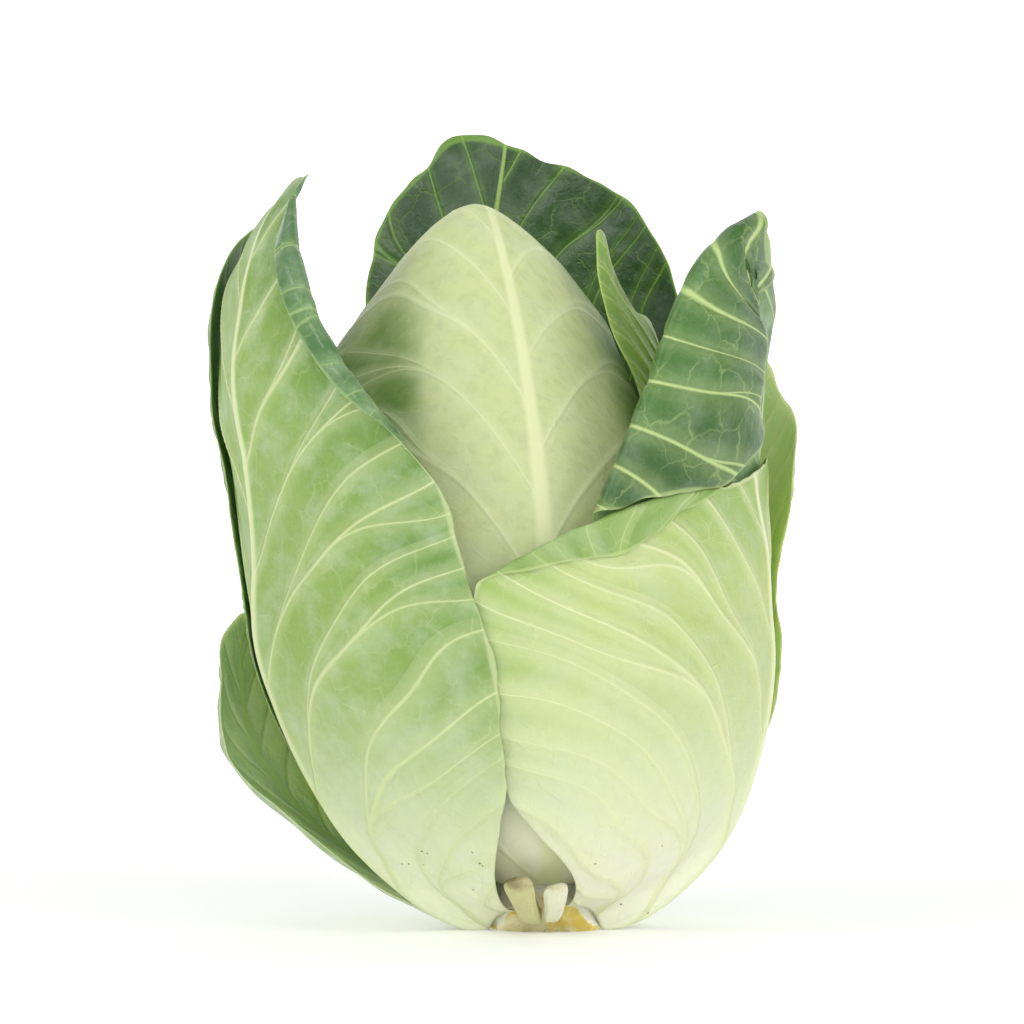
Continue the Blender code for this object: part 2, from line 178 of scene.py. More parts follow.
# ======================================================================================
# The head's form
# ======================================================================================
@dataclass(frozen=True)
class HeadForm:
    """The surfaces of revolution that every leaf is laid on, worked out from the frame."""

    unit: float
    heart_radius: float
    heart_tip: float
    stump_radius: float
    stump_height: float

    @classmethod
    def from_frame(cls, low: Vector, high: Vector) -> "HeadForm":
        """Read the form off the frame's boxes.

        Args:
            low: Lowest corner of the whole frame.
            high: Highest corner of the whole frame.

        Returns:
            The form, in drawn millimetres, with the size of one of them in metres.
        """
        size = (high.z - low.z) / DRAWN_HEIGHT
        heart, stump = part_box("heart"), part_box("stump")
        return cls(
            unit=size,
            heart_radius=(heart[1][1] - heart[0][1]) / 2 / DEPTH / size,
            heart_tip=heart[1][2] / size,
            stump_radius=(stump[1][1] - stump[0][1]) / 2 / DEPTH / size,
            stump_height=stump[1][2] / size + FIT_GAP,
        )

    def radius(self, layer: float) -> float:
        """Half-width of a layer where the head is widest."""
        return self.heart_radius + layer * LAYER_STEP

    def foot(self, layer: float) -> float:
        """Height at which a layer leaves the stump."""
        return self.stump_height - layer * BASE_STEP

    def lower(self, layer: float, turn: Array) -> tuple[Array, Array]:
        """Radius and height from the stump (turn 0) to the bulge (a quarter turn)."""
        start = self.stump_radius + FIT_GAP
        out = (self.radius(layer) - start) * np.sin(turn) ** LOW_POWER
        return start + out, self.foot(layer) + (BULGE_HEIGHT - self.foot(layer)) * (1 - np.cos(turn))

    def closed(self, layer: float) -> tuple[Array, Array]:
        """Radius and height of a closed head, from the stump to the tip."""
        low = self.lower(layer, np.linspace(0, math.pi / 2, PROFILE_POINTS))
        share = np.sin(np.linspace(0, math.pi / 2, PROFILE_POINTS))[1:]
        full, blunt = TIP_POWERS
        tip = self.heart_tip + layer * TIP_STEP
        up = self.radius(layer) * (1 - share**full) ** blunt
        return np.append(low[0], up), np.append(low[1], BULGE_HEIGHT + (tip - BULGE_HEIGHT) * share)

    def placed(self, azimuth: Array, radius: Array, height: Array) -> Array:
        """Points round the leaning axis; azimuth runs from the front towards +X, in radians."""
        x = LEAN * height + radius * np.sin(azimuth)
        return np.stack([x, -DEPTH * radius * np.cos(azimuth), height], axis=-1)


def along_profile(profile: tuple[Array, Array], along: Array) -> tuple[Array, Array]:
    """Radius and height at distances along a profile."""
    radius, height = profile
    run = np.append(0, np.cumsum(np.hypot(np.diff(radius), np.diff(height))))
    return np.interp(along, run, radius), np.interp(along, run, height)


# ======================================================================================
# How a leaf is drawn
# ======================================================================================
@dataclass(frozen=True)
class Bump:
    """A soft swelling that lifts part of a leaf away from the head."""

    side: float
    along: float
    wide: float
    tall: float
    lift: float


@dataclass(frozen=True)
class Roll:
    """A stretch of rim rolled outwards, between two flat points of the outline."""

    start: Point2
    end: Point2
    width: float
    radius: float
    power: float = 0.7  # how soon the roll reaches its full width


@dataclass(frozen=True)
class Fold:
    """A crease, from foot to top, in the flat leaf; what lies to its left turns outwards."""

    crease: tuple[Point2, ...]
    radius: float

    def across(self, points: Array) -> tuple[Array, Array]:
        """Find how points lie beside the crease.

        Args:
            points: Flat points, in any shape of array that ends in 2.

        Returns:
            The direction to the crease's left beside each point, and how far to that side it lies.
        """
        ends = np.array(self.crease, float)
        before = ends[0] + CREASE_RUN_OUT * unit(ends[0] - ends[1])
        after = ends[-1] + CREASE_RUN_OUT * unit(ends[-1] - ends[-2])
        return beside(smooth_curve((before, *ends, after), 400), points, 4)[:2]

    def unfolded(self, points: tuple[Point2, ...]) -> list[Point2]:
        """Flat places of points that are given where they lie once the leaf is folded over."""
        flat = np.array(points, float)
        left, beyond = self.across(flat)
        return [tuple(q) for q in flat + (math.pi * self.radius - 2 * beyond)[:, None] * left]


@dataclass(frozen=True)
class Venation:
    """How a leaf's side veins leave its midrib."""

    spacing: float = 19.0
    rise: float = 1.15
    bend: float = 42.0
    tail: float = 0.32
    wander: float = 2.6
    ridge: float = 0.45
    quilt: float = 0.35
    unforked: float = 0.0  # how much farther from the midrib the side veins fork
    seed: float = 0.0
    midrib: tuple[Point2, ...] = ((0.0, 0.0),)  # (along, side) of points that the midrib runs through


@dataclass(frozen=True)
class Leaf:
    """One leaf, drawn flat and described by how it stands round the head."""

    name: str
    layer: float
    azimuth: float
    outline: tuple[Point2, ...]
    tip: float = 200.0
    opens: float = 0.0
    closes: float = 0.0
    opens_power: float = 1.6
    closes_power: float = 4.0
    domed: bool = False
    rib: Point2 = (2.0, 7.0)
    stalk: float = 0.0
    bumps: tuple[Bump, ...] = ()
    rolls: tuple[Roll, ...] = ()
    fold: Optional[Fold] = None
    blade: float = BLADE
    grid: tuple[int, int] = (130, 170)
    veins: Venation = field(default_factory=Venation)
    swell: float = 0.5  # slow outward waves of the whole blade
    ruffle: float = 0.8  # waves of the free margin
    jag: float = 0.6  # unevenness of the outline
    left_green_and_shadow: float = 0.0  # how much deeper the green reaches in from the left margin than the right: partly the leaf's own darker green, partly painted shadow of the rolled leaf in front of it
    seed: int = 1

    @property
    def length(self) -> float:
        """How far the flat leaf reaches from the stump."""
        return max(along for _, along in self.outline)


def smooth_curve(points: tuple[Point2, ...], samples: int) -> Array:
    """An even run of points on a Catmull-Rom curve through the given ones."""
    p = np.array(points, float)
    p = np.vstack([2 * p[0] - p[1], p, 2 * p[-1] - p[-2]])
    t = np.linspace(0, len(points) - 1, samples * 4)
    i = np.minimum(t.astype(int), len(points) - 2)
    f = (t - i)[:, None]
    a, b, c, d = p[i], p[i + 1], p[i + 2], p[i + 3]
    curve = b + 0.5 * f * (c - a + f * (2 * a - 5 * b + 4 * c - d + f * (3 * (b - c) + d - a)))
    run = np.append(0, np.cumsum(np.hypot(*np.diff(curve, axis=0).T)))
    return read_off(curve, np.linspace(0, run[-1], samples), run)


def part_of(curve: Array, start: float, end: float, shares: Array) -> Array:
    """Points on a curve at shares of the stretch from start to end."""
    return read_off(curve, (start + (end - start) * shares) * (len(curve) - 1))


def nearest_on(curve: Array, points: Array) -> tuple[Array, Array]:
    """Find the nearest place on a curve.

    Args:
        curve: Points of the curve.
        points: Flat points, in any shape of array that ends in 2.

    Returns:
        The distance to the curve, and the place on it as a fractional index.
    """
    flat = points.reshape(-1, 2)
    best = np.empty(len(flat), int)
    block = 4096
    for start in range(0, len(flat), block):
        gap = flat[start : start + block, None, :] - curve[None]
        best[start : start + block] = (gap**2).sum(axis=-1).argmin(axis=1)
    distance, place = np.full(len(flat), np.inf), best.astype(float)
    for step in (-1, 0):
        i = np.clip(best + step, 0, len(curve) - 2)
        a, run = curve[i], curve[i + 1] - curve[i]
        t = np.clip(((flat - a) * run).sum(axis=1) / (run**2).sum(axis=1), 0, 1)
        gap = np.linalg.norm(flat - a - t[:, None] * run, axis=1)
        place = np.where(gap < distance, i + t, place)
        distance = np.minimum(gap, distance)
    return distance.reshape(points.shape[:-1]), place.reshape(points.shape[:-1])


def beside(curve: Array, points: Array, ease: int) -> tuple[Array, Array, Array]:
    """Find how points lie beside a curve.

    Args:
        curve: Points of the curve, evenly spaced.
        points: Flat points, in any shape of array that ends in 2.
        ease: How many points of the curve each way its directions are evened out over.

    Returns:
        The direction to the curve's left beside each point, how far to that side the point lies, and
        the place on the curve as a fractional index.
    """
    distance, place = nearest_on(curve, points)
    ahead = np.gradient(curve, axis=0)
    window = np.hanning(2 * ease + 3)[1:-1]
    window = window / window.sum()
    evened = [np.convolve(np.pad(column, ease, "edge"), window, "valid") for column in ahead.T]
    lefts = [unit(np.stack([-up, across], axis=1)) for across, up in (ahead.T, evened)]
    exact, left = (read_off(n, place) for n in lefts)
    sign = np.where(((points - read_off(curve, place)) * exact).sum(axis=-1) > 0, 1.0, -1.0)
    return unit(left), sign * distance, place


# ======================================================================================
# Node trees
# ======================================================================================
class Tree:
    """Short ways to place and link nodes in one tree."""

    def __init__(self, tree: bpy.types.NodeTree) -> None:
        """Keep the tree that nodes are placed in."""
        self.tree = tree

    def node(self, kind: str, **values: object) -> bpy.types.Node:
        """Place a node.

        Args:
            kind: The node's type name.
            **values: Properties to set on it.

        Returns:
            The node.
        """
        made = self.tree.nodes.new(kind)
        for name, value in values.items():
            setattr(made, name, value)
        return made

    def feed(self, socket: Socket, value: object) -> None:
        """Link a socket to an output, or set its value."""
        if isinstance(value, Socket):
            self.tree.links.new(value, socket)
        elif value is not None:
            socket.default_value = value

    def math(self, operation: str, *values: object, clamp: bool = False) -> Socket:
        """Place a Math node and return its output."""
        made = self.node("ShaderNodeMath", operation=operation, use_clamp=clamp)
        for socket, value in zip(made.inputs, values):
            self.feed(socket, value)
        return made.outputs[0]

    def vector(self, operation: str, *values: object) -> Socket:
        """Place a Vector Math node and return its vector output."""
        made = self.node("ShaderNodeVectorMath", operation=operation)
        for socket, value in zip(made.inputs, values):
            self.feed(socket, value)
        return made.outputs[0]

    def ease(self, value: object, low: object, high: object, start: float = 0, end: float = 1) -> Socket:
        """Place a smooth Map Range node that carries low to high onto start to end."""
        made = self.node("ShaderNodeMapRange", interpolation_type="SMOOTHSTEP", clamp=True)
        for socket, given in zip(made.inputs, (value, low, high, start, end)):
            self.feed(socket, given)
        return made.outputs[0]

    def mix(self, factor: object, first: object, second: object, blend: str = "MIX") -> Socket:
        """Place a colour Mix node, with displayed colours or outputs, and return its output."""
        made = self.node("ShaderNodeMix", data_type="RGBA", blend_type=blend, clamp_factor=True)
        self.feed(made.inputs[0], factor)
        for socket, value in ((made.inputs[6], first), (made.inputs[7], second)):
            self.feed(socket, linear(value) if isinstance(value, tuple) else value)
        return made.outputs[2]

    def noise(self, vector: object, scale: float, detail: float = 3, roughness: float = 0.5) -> Socket:
        """Place a Noise Texture and return its value."""
        made = self.node("ShaderNodeTexNoise")
        self.feed(made.inputs["Vector"], vector)
        made.inputs["Scale"].default_value = scale
        made.inputs["Detail"].default_value = detail
        made.inputs["Roughness"].default_value = roughness
        return made.outputs[0]


class Group(Tree):
    """A shader node group with named inputs and outputs."""

    def __init__(self, name: str, inputs: dict[str, object], outputs: dict[str, str]) -> None:
        """Make the group and its sockets.

        Args:
            name: The group's name.
            inputs: Default value of each input; a tuple makes a vector, or a colour if it holds 4.
            outputs: Socket kind of each output.
        """
        super().__init__(bpy.data.node_groups.new(name, "ShaderNodeTree"))
        for key, value in inputs.items():
            kind = "NodeSocketFloat"
            if isinstance(value, tuple):
                kind = "NodeSocketColor" if len(value) == 4 else "NodeSocketVector"
            socket = self.tree.interface.new_socket(key, in_out="INPUT", socket_type=kind)
            socket.default_value = value
        for key, kind in outputs.items():
            self.tree.interface.new_socket(key, in_out="OUTPUT", socket_type=kind)
        self.inputs = self.node("NodeGroupInput").outputs
        self.outputs = self.node("NodeGroupOutput").inputs

    def close(self, **values: Socket) -> bpy.types.NodeTree:
        """Link the named outputs and return the finished group."""
        for key, value in values.items():
            self.feed(self.outputs[key.replace("_", " ")], value)
        return self.tree


class GeometryTree(Tree):
    """A Geometry Nodes tree with named inputs, which ends as a plain mesh."""

    def __init__(self, name: str, inputs: dict[str, object]) -> None:
        """Make the tree and its inputs; a whole number makes an integer input."""
        super().__init__(bpy.data.node_groups.new(name, "GeometryNodeTree"))
        face = self.tree.interface
        face.new_socket("Geometry", in_out="INPUT", socket_type="NodeSocketGeometry")
        for key, value in inputs.items():
            kind = "NodeSocketInt" if isinstance(value, int) else "NodeSocketFloat"
            face.new_socket(key, in_out="INPUT", socket_type=kind).default_value = value
        face.new_socket("Geometry", in_out="OUTPUT", socket_type="NodeSocketGeometry")
        self.inputs = self.node("NodeGroupInput").outputs
        self.name = name

    def random(self, low: object, high: object, offset: int) -> Socket:
        """Place a seeded Random Value node for vectors and return its output."""
        made = self.node("FunctionNodeRandomValue", data_type="FLOAT_VECTOR")
        made.inputs[0].default_value = low
        made.inputs[1].default_value = high
        self.feed(made.inputs["Seed"], self.math("ADD", self.inputs["Seed"], float(offset)))
        return made.outputs[0]

    def beads(
        self,
        points: Socket,
        size: str,
        rounds: int,
        scales: tuple[Point3, Point3],
        offset: int,
        rotation: Optional[Socket] = None,
    ) -> Socket:
        """Put a bead, scaled at random, on every point.

        Args:
            points: Output that holds the points.
            size: The input that sets the beads' radius.
            rounds: How finely a bead is divided.
            scales: The least and the greatest scale along each axis.
            offset: Sets these random draws apart from the tree's others.
            rotation: Output that turns each bead.

        Returns:
            The output that holds the beads as instances.
        """
        bead = self.node("GeometryNodeMeshIcoSphere")
        bead.inputs["Subdivisions"].default_value = rounds
        self.feed(bead.inputs["Radius"], self.inputs[size])
        spread = self.node("GeometryNodeInstanceOnPoints")
        self.feed(spread.inputs["Points"], points)
        self.feed(spread.inputs["Instance"], bead.outputs[0])
        self.feed(spread.inputs["Rotation"], rotation)
        self.feed(spread.inputs["Scale"], self.random(*scales, offset))
        return spread.outputs[0]

    def result(
        self,
        instances: Socket,
        material: Material,
        values: dict[str, object],
        source: Optional[Mesh] = None,
    ) -> Mesh:
        """Realize the instances, give them their material and turn them into a plain mesh.

        Args:
            instances: Output that holds the spread pieces.
            material: Their material.
            values: The tree's inputs by name, set before it is evaluated.
            source: Mesh that the tree starts from, if it needs one.

        Returns:
            The plain mesh.
        """
        real = self.node("GeometryNodeRealizeInstances")
        dressed = self.node("GeometryNodeSetMaterial")
        self.feed(real.inputs[0], instances)
        self.feed(dressed.inputs["Geometry"], real.outputs[0])
        dressed.inputs["Material"].default_value = material
        end = self.node("NodeGroupOutput")
        self.feed(end.inputs[0], dressed.outputs[0])
        carrier = bpy.data.objects.new(self.name, source or bpy.data.meshes.new(self.name))
        bpy.context.scene.collection.objects.link(carrier)
        modifier = carrier.modifiers.new(self.name, "NODES")
        modifier.node_group = self.tree
        for item in self.tree.interface.items_tree:
            if item.in_out == "INPUT" and item.name in values:
                modifier[item.identifier] = values[item.name]
        shown = carrier.evaluated_get(bpy.context.evaluated_depsgraph_get())
        mesh = bpy.data.meshes.new_from_object(shown)
        carrier.modifiers.remove(modifier)
        bpy.data.objects.remove(carrier)
        mesh.shade_smooth()
        return mesh


class Dressing(Tree):
    """A new material's node tree, with short ways to set its shader."""

    def __init__(self, name: str) -> None:
        """Make the material."""
        self.material = bpy.data.materials.new(name)
        self.material.use_nodes = True
        super().__init__(self.material.node_tree)
        self.shader = self.tree.nodes["Principled BSDF"]

    def dress(self, **values: object) -> None:
        """Set or link the shader's sockets; _ in a name stands for a space."""
        for key, value in values.items():
            self.feed(self.shader.inputs[key.replace("_", " ")], value)

    def bump(self, height: Socket, strength: float, distance: float) -> None:
        """Raise the surface where height is 1 by a distance in metres."""
        made = self.node("ShaderNodeBump")
        made.inputs["Strength"].default_value = strength
        made.inputs["Distance"].default_value = distance
        self.feed(made.inputs["Height"], height)
        self.feed(self.shader.inputs["Normal"], made.outputs[0])


def vein_group() -> bpy.types.NodeTree:
    """Build the group that draws a leaf's midrib, forked side veins and fine net.

    Returns:
        The group, which puts out masks from 0 to 1.
    """
    g = Group(
        "Leaf veins",
        {
            "Flat": (0.0, 0.0, 0.0), "Phase": 0.0, "Rise": 0.0, "Spacing": 19.0, "Vein width": 0.8,
            "Rib width": 6.0, "Seed": 0.0, "Unforked": 0.0,
        },
        {k: "NodeSocketFloat" for k in ("Rib", "Vein", "Halo", "Net", "Fine", "Height")},
    )
    flat = g.node("ShaderNodeSeparateXYZ")
    g.feed(flat.inputs[0], g.inputs["Flat"])
    away = g.math("ABSOLUTE", flat.outputs[0])
    right = g.math("GREATER_THAN", flat.outputs[0], 0.0)
    left_over = g.math("SUBTRACT", 1.0, g.inputs["Rise"])
    rib_width = g.math("MULTIPLY", g.inputs["Rib width"], g.math("MULTIPLY_ADD", left_over, 0.8, 0.2))
    rib = g.ease(g.math("DIVIDE", away, rib_width), 0.3, 1.0, 1.0, 0.0)
    index = g.math("ROUND", g.inputs["Phase"])
    offset = g.math("SUBTRACT", g.inputs["Phase"], index)
    taper = g.ease(away, 0.0, VEIN_TAPER, 1.0, 0.28)

    def lot(step: float, side_step: float) -> Socket:
        """Draw every side vein's own lot, from 0 to 1."""
        start = g.math("MULTIPLY_ADD", right, side_step, g.inputs["Seed"])
        return g.math("FRACT", g.math("ADD", g.math("MULTIPLY_ADD", index, step, start), LOT_SHIFT))

    strength = g.math("MULTIPLY_ADD", lot(*STRENGTH_STEP), 0.9, 0.5)
    width = g.math("MULTIPLY", g.math("MULTIPLY", g.inputs["Vein width"], taper), strength)

    def line(distance: object, share: float) -> Socket:
        """Draw a line of a share of the vein's width where a distance is 0."""
        gap = g.math("MULTIPLY", g.math("ABSOLUTE", distance), g.inputs["Spacing"])
        return g.ease(g.math("DIVIDE", gap, g.math("MULTIPLY", width, share)), 0.15, 1.0, 1.0, 0.0)

    vein, near = line(offset, 1.0), g.math("ABSOLUTE", offset)
    for step, side_step, first, spread, growth, share in FORKS:
        first = g.math("ADD", g.inputs["Unforked"], first)
        start = g.math("MULTIPLY_ADD", lot(step, side_step), spread, first)
        grown = g.ease(away, start, g.math("ADD", start, growth), 0.0, share)
        away_from = g.math("SUBTRACT", offset, grown)
        vein = g.math("MAXIMUM", vein, g.math("MULTIPLY", line(away_from, 0.75), 0.85))
        near = g.math("MINIMUM", near, g.math("ABSOLUTE", away_from))
    halo = g.ease(g.math("MULTIPLY", near, g.inputs["Spacing"]), 0.0, 5.5, 1.0, 0.0)
    soft = g.ease(g.math("MULTIPLY", near, g.inputs["Spacing"]), 0.0, 1.8, 1.0, 0.0)

    warped = g.inputs["Flat"]
    for scale, amount in ((0.11, 7.0), (0.5, 2.2)):
        warp = g.node("ShaderNodeTexNoise")
        g.feed(warp.inputs["Vector"], g.inputs["Flat"])
        warp.inputs["Scale"].default_value = scale
        shift = g.vector("SUBTRACT", warp.outputs[1], (0.5, 0.5, 0.5))
        warped = g.vector("ADD", warped, g.vector("MULTIPLY", shift, (amount, amount, 0.0)))
    nets = []
    for cell, line_width, fade in ((9.0, 0.06, 0.09), (2.8, 0.12, 0.2)):
        voronoi = g.node("ShaderNodeTexVoronoi", feature="DISTANCE_TO_EDGE", voronoi_dimensions="2D")
        g.feed(voronoi.inputs["Vector"], warped)
        voronoi.inputs["Scale"].default_value = 1 / cell
        shown = g.ease(g.noise(g.inputs["Flat"], fade, 2), 0.36, 0.62)
        nets.append(g.math("MULTIPLY", g.ease(voronoi.outputs[0], 0.0, line_width, 1.0, 0.0), shown))
    height = g.math("MULTIPLY_ADD", nets[0], 0.3, g.math("MULTIPLY_ADD", nets[1], 0.12, soft))
    height = g.math("MULTIPLY", height, g.math("SUBTRACT", 1.0, rib))
    return g.close(Rib=rib, Vein=vein, Halo=halo, Net=nets[0], Fine=nets[1], Height=height)


WAX: Colour = (206, 218, 200)  # the bloom on a leaf


def tone_group() -> bpy.types.NodeTree:
    """Build the group that colours a leaf from its foot to its margin and mottles it.

    Returns:
        The group, which puts out a colour and a roughness.
    """
    g = Group(
        "Leaf tone",
        {
            "Flat": (0.0, 0.0, 0.0), "Rise": 0.0, "Edge": 0.0,
            "Foot colour": (1.0, 1.0, 1.0, 1.0), "Blade colour": (1.0, 1.0, 1.0, 1.0),
            "Deep colour": (1.0, 1.0, 1.0, 1.0), "Foot reach": 0.3, "Deep reach": 30.0,
            "Bloom": 0.1, "Roughness": 0.45,
        },
        {"Colour": "NodeSocketColor", "Roughness": "NodeSocketFloat"},
    )
    flat = g.inputs["Flat"]
    patch = g.noise(flat, 0.045, 4, 0.6)
    mottle = g.noise(flat, 0.22, 3, 0.6)
    edge = g.math("ADD", g.inputs["Edge"], g.math("MULTIPLY_ADD", patch, 40.0, -20.0))
    deep = g.ease(edge, 0.0, g.inputs["Deep reach"], 1.0, 0.0)
    deep = g.math("MULTIPLY", deep, g.ease(g.inputs["Rise"], 0.1, 0.6))
    colour = g.mix(deep, g.inputs["Blade colour"], g.inputs["Deep colour"])
    stained = g.mix(g.ease(mottle, 0.42, 0.72, 0.0, 0.16), colour, g.inputs["Deep colour"])
    rise = g.math("ADD", g.inputs["Rise"], g.math("MULTIPLY_ADD", patch, 0.12, -0.06))
    foot = g.ease(rise, 0.02, g.inputs["Foot reach"], 1.0, 0.0)
    colour = g.mix(foot, stained, g.inputs["Foot colour"])
    wax = g.math("MULTIPLY", g.ease(g.noise(flat, 0.075, 5, 0.65), 0.4, 0.7), g.inputs["Bloom"])
    colour = g.mix(wax, colour, WAX)
    rough = g.math("ADD", g.inputs["Roughness"], g.math("MULTIPLY_ADD", mottle, 0.16, -0.08))
    rough = g.math("ADD", rough, g.math("MULTIPLY", wax, 0.35))
    return g.close(Colour=colour, Roughness=rough)


# ======================================================================================
# Finishes
# ======================================================================================
@dataclass(frozen=True)
class LeafFinish:
    """One face of a leaf: its colours, veins and gloss."""

    name: str
    foot: Colour
    blade: Colour
    deep: Colour
    vein: Colour
    rib: Colour
    foot_reach: float = 0.3
    deep_reach: float = 30.0
    bloom: float = 0.12
    roughness: float = 0.45
    vein_strength: float = 0.7
    halo: float = 0.25  # how much the blade pales beside its veins
    net_strength: float = 0.3
    vein_width: float = 0.8
    rib_width: float = 6.0
    relief: float = 0.35  # height of the finest veins, in millimetres; negative where they are sunken
    gloss: float = 0.4
    soft: float = 0.12  # how much light the leaf lets in

    def material(self, veins: Venation, unit_size: float) -> Material:
        """Make the material.

        Args:
            veins: The leaf's venation, whose spacing and seed the pattern shares.
            unit_size: Metres in one drawn millimetre.

        Returns:
            The material.
        """
        t = Dressing(f"{self.name}_{int(veins.seed * 100):02d}")
        flat = t.vector("SCALE", t.node("ShaderNodeUVMap", uv_map="flat").outputs[0])
        flat.node.inputs["Scale"].default_value = UV_SPAN
        phase, rise, edge = (t.node("ShaderNodeAttribute", attribute_name=n).outputs["Fac"] for n in FIELDS)
        draw = t.node("ShaderNodeGroup", node_tree=GROUPS["veins"])
        tone = t.node("ShaderNodeGroup", node_tree=GROUPS["tone"])
        given = {
            "Flat": flat, "Phase": phase, "Rise": rise, "Edge": edge, "Spacing": veins.spacing * GAP_SHARE,
            "Vein width": self.vein_width, "Rib width": self.rib_width, "Seed": veins.seed,
            "Unforked": veins.unforked, "Foot reach": self.foot_reach, "Deep reach": self.deep_reach,
            "Foot colour": linear(self.foot), "Blade colour": linear(self.blade),
            "Deep colour": linear(self.deep), "Bloom": self.bloom, "Roughness": self.roughness,
        }
        for group in (draw, tone):
            for socket in group.inputs:
                t.feed(socket, given[socket.name])
        colour = tone.outputs["Colour"]
        net = self.net_strength
        shares = {"Halo": self.halo, "Fine": 0.25 * net, "Net": net, "Vein": self.vein_strength}
        for mask, share in shares.items():
            colour = t.mix(t.math("MULTIPLY", draw.outputs[mask], share), colour, self.vein)
        colour = t.mix(t.math("MULTIPLY", draw.outputs["Rib"], 0.9), colour, self.rib)
        # painted highlight: a thin band just inside the margin is paled towards the vein colour, as a rim
        # catching the light
        colour = t.mix(t.ease(edge, 0.1, 1.1, 0.55, 0.0), colour, self.vein)
        height = t.math("MULTIPLY_ADD", t.noise(flat, 1.1, 4, 0.6), 0.3, draw.outputs["Height"])
        height = t.math("MULTIPLY_ADD", t.noise(flat, 0.25, 3, 0.5), 1.4, height)
        t.bump(height, 0.85, self.relief * unit_size)
        t.dress(
            Base_Color=colour,
            Roughness=t.math("MULTIPLY_ADD", draw.outputs["Vein"], -0.05, tone.outputs["Roughness"]),
            Specular_IOR_Level=self.gloss,
            Subsurface_Weight=self.soft,
            Subsurface_Radius=(1.0, 1.4, 0.35),
            Subsurface_Scale=(1.2 + 3 * self.soft) * unit_size,
        )
        return t.material


# The deep colour is the greener margin; on the front head leaf, where it reaches farther in on the left, it
# is also painted shadow of the rolled leaf in front
HEAD_OUTER = LeafFinish(
    "head_leaf_underside", foot=(240, 242, 212), blade=(203, 214, 153), deep=(106, 142, 62),
    vein=(224, 232, 182), rib=(226, 233, 180), foot_reach=0.4, deep_reach=44, bloom=0.2, roughness=0.42,
    vein_strength=0.55, halo=0.3, net_strength=0.12, vein_width=1.0, rib_width=5.5, relief=0.2, soft=0.2,
)
HEAD_INNER = LeafFinish(
    "head_leaf_face", foot=(232, 236, 196), blade=(176, 199, 110), deep=(128, 163, 66),
    vein=(214, 224, 160), rib=(222, 230, 172), foot_reach=0.4, bloom=0.05, roughness=0.4,
    net_strength=0.2, relief=-0.2, soft=0.2,
)
WRAP_OUTER = LeafFinish(
    "wrapper_underside", foot=(236, 240, 208), blade=(142, 172, 86), deep=(104, 144, 62),
    vein=(206, 218, 160), rib=(216, 226, 172), foot_reach=0.44, deep_reach=46, bloom=0.3, roughness=0.44,
    vein_strength=0.78, halo=0.3, net_strength=0.2, vein_width=1.0, rib_width=5.0, relief=0.38, soft=0.15,
)
PALE_OUTER = LeafFinish(
    "pale_wrapper_underside", foot=(240, 242, 220), blade=(186, 202, 130), deep=(150, 180, 92),
    vein=(222, 229, 176), rib=(228, 234, 188), foot_reach=0.72, deep_reach=34, bloom=0.2, roughness=0.42,
    vein_strength=0.72, halo=0.4, net_strength=0.18, vein_width=1.1, rib_width=7.0, relief=0.38, soft=0.2,
)
PALE_INNER = LeafFinish(
    "pale_wrapper_face", foot=(236, 238, 205), blade=(150, 180, 98), deep=(124, 158, 76),
    vein=(190, 208, 140), rib=(214, 224, 166), foot_reach=0.5, bloom=0.18, roughness=0.38,
    vein_strength=0.65, halo=0.3, net_strength=0.25, relief=-0.25, gloss=0.45, soft=0.15,
)
WRAP_INNER = LeafFinish(
    "wrapper_face", foot=(226, 232, 190), blade=(100, 140, 80), deep=(76, 118, 64), vein=(158, 188, 120),
    rib=(196, 212, 146), foot_reach=0.45, deep_reach=40, bloom=0.16, roughness=0.24, vein_strength=0.65,
    halo=0.2, net_strength=0.2, vein_width=0.9, relief=-0.3, gloss=0.55, soft=0.08,
)
DARK_OUTER = LeafFinish(
    "outer_underside", foot=(228, 234, 200), blade=(112, 148, 92), deep=(84, 122, 72),
    vein=(172, 196, 138), rib=(206, 218, 170), foot_reach=0.45, deep_reach=40, bloom=0.4, roughness=0.5,
    vein_strength=0.8, net_strength=0.4, vein_width=0.85, rib_width=5.5, relief=0.4, soft=0.4,
)
DARK_INNER = LeafFinish(
    "outer_face", foot=(220, 228, 180), blade=(56, 92, 42), deep=(40, 72, 32), vein=(128, 168, 74),
    rib=(160, 190, 100), foot_reach=0.42, deep_reach=40, roughness=0.36, halo=0.22, net_strength=0.25,
    vein_width=0.9, rib_width=3.2, relief=-0.35, gloss=0.5, soft=0.2,
)
MID_OUTER = LeafFinish(
    "mid_underside", foot=(232, 238, 208), blade=(156, 182, 122), deep=(126, 158, 98),
    vein=(200, 216, 160), rib=(206, 218, 170), foot_reach=0.45, deep_reach=40, bloom=0.35, roughness=0.48,
    vein_strength=0.75, vein_width=0.9, rib_width=5.5, relief=0.4, soft=0.5,
)
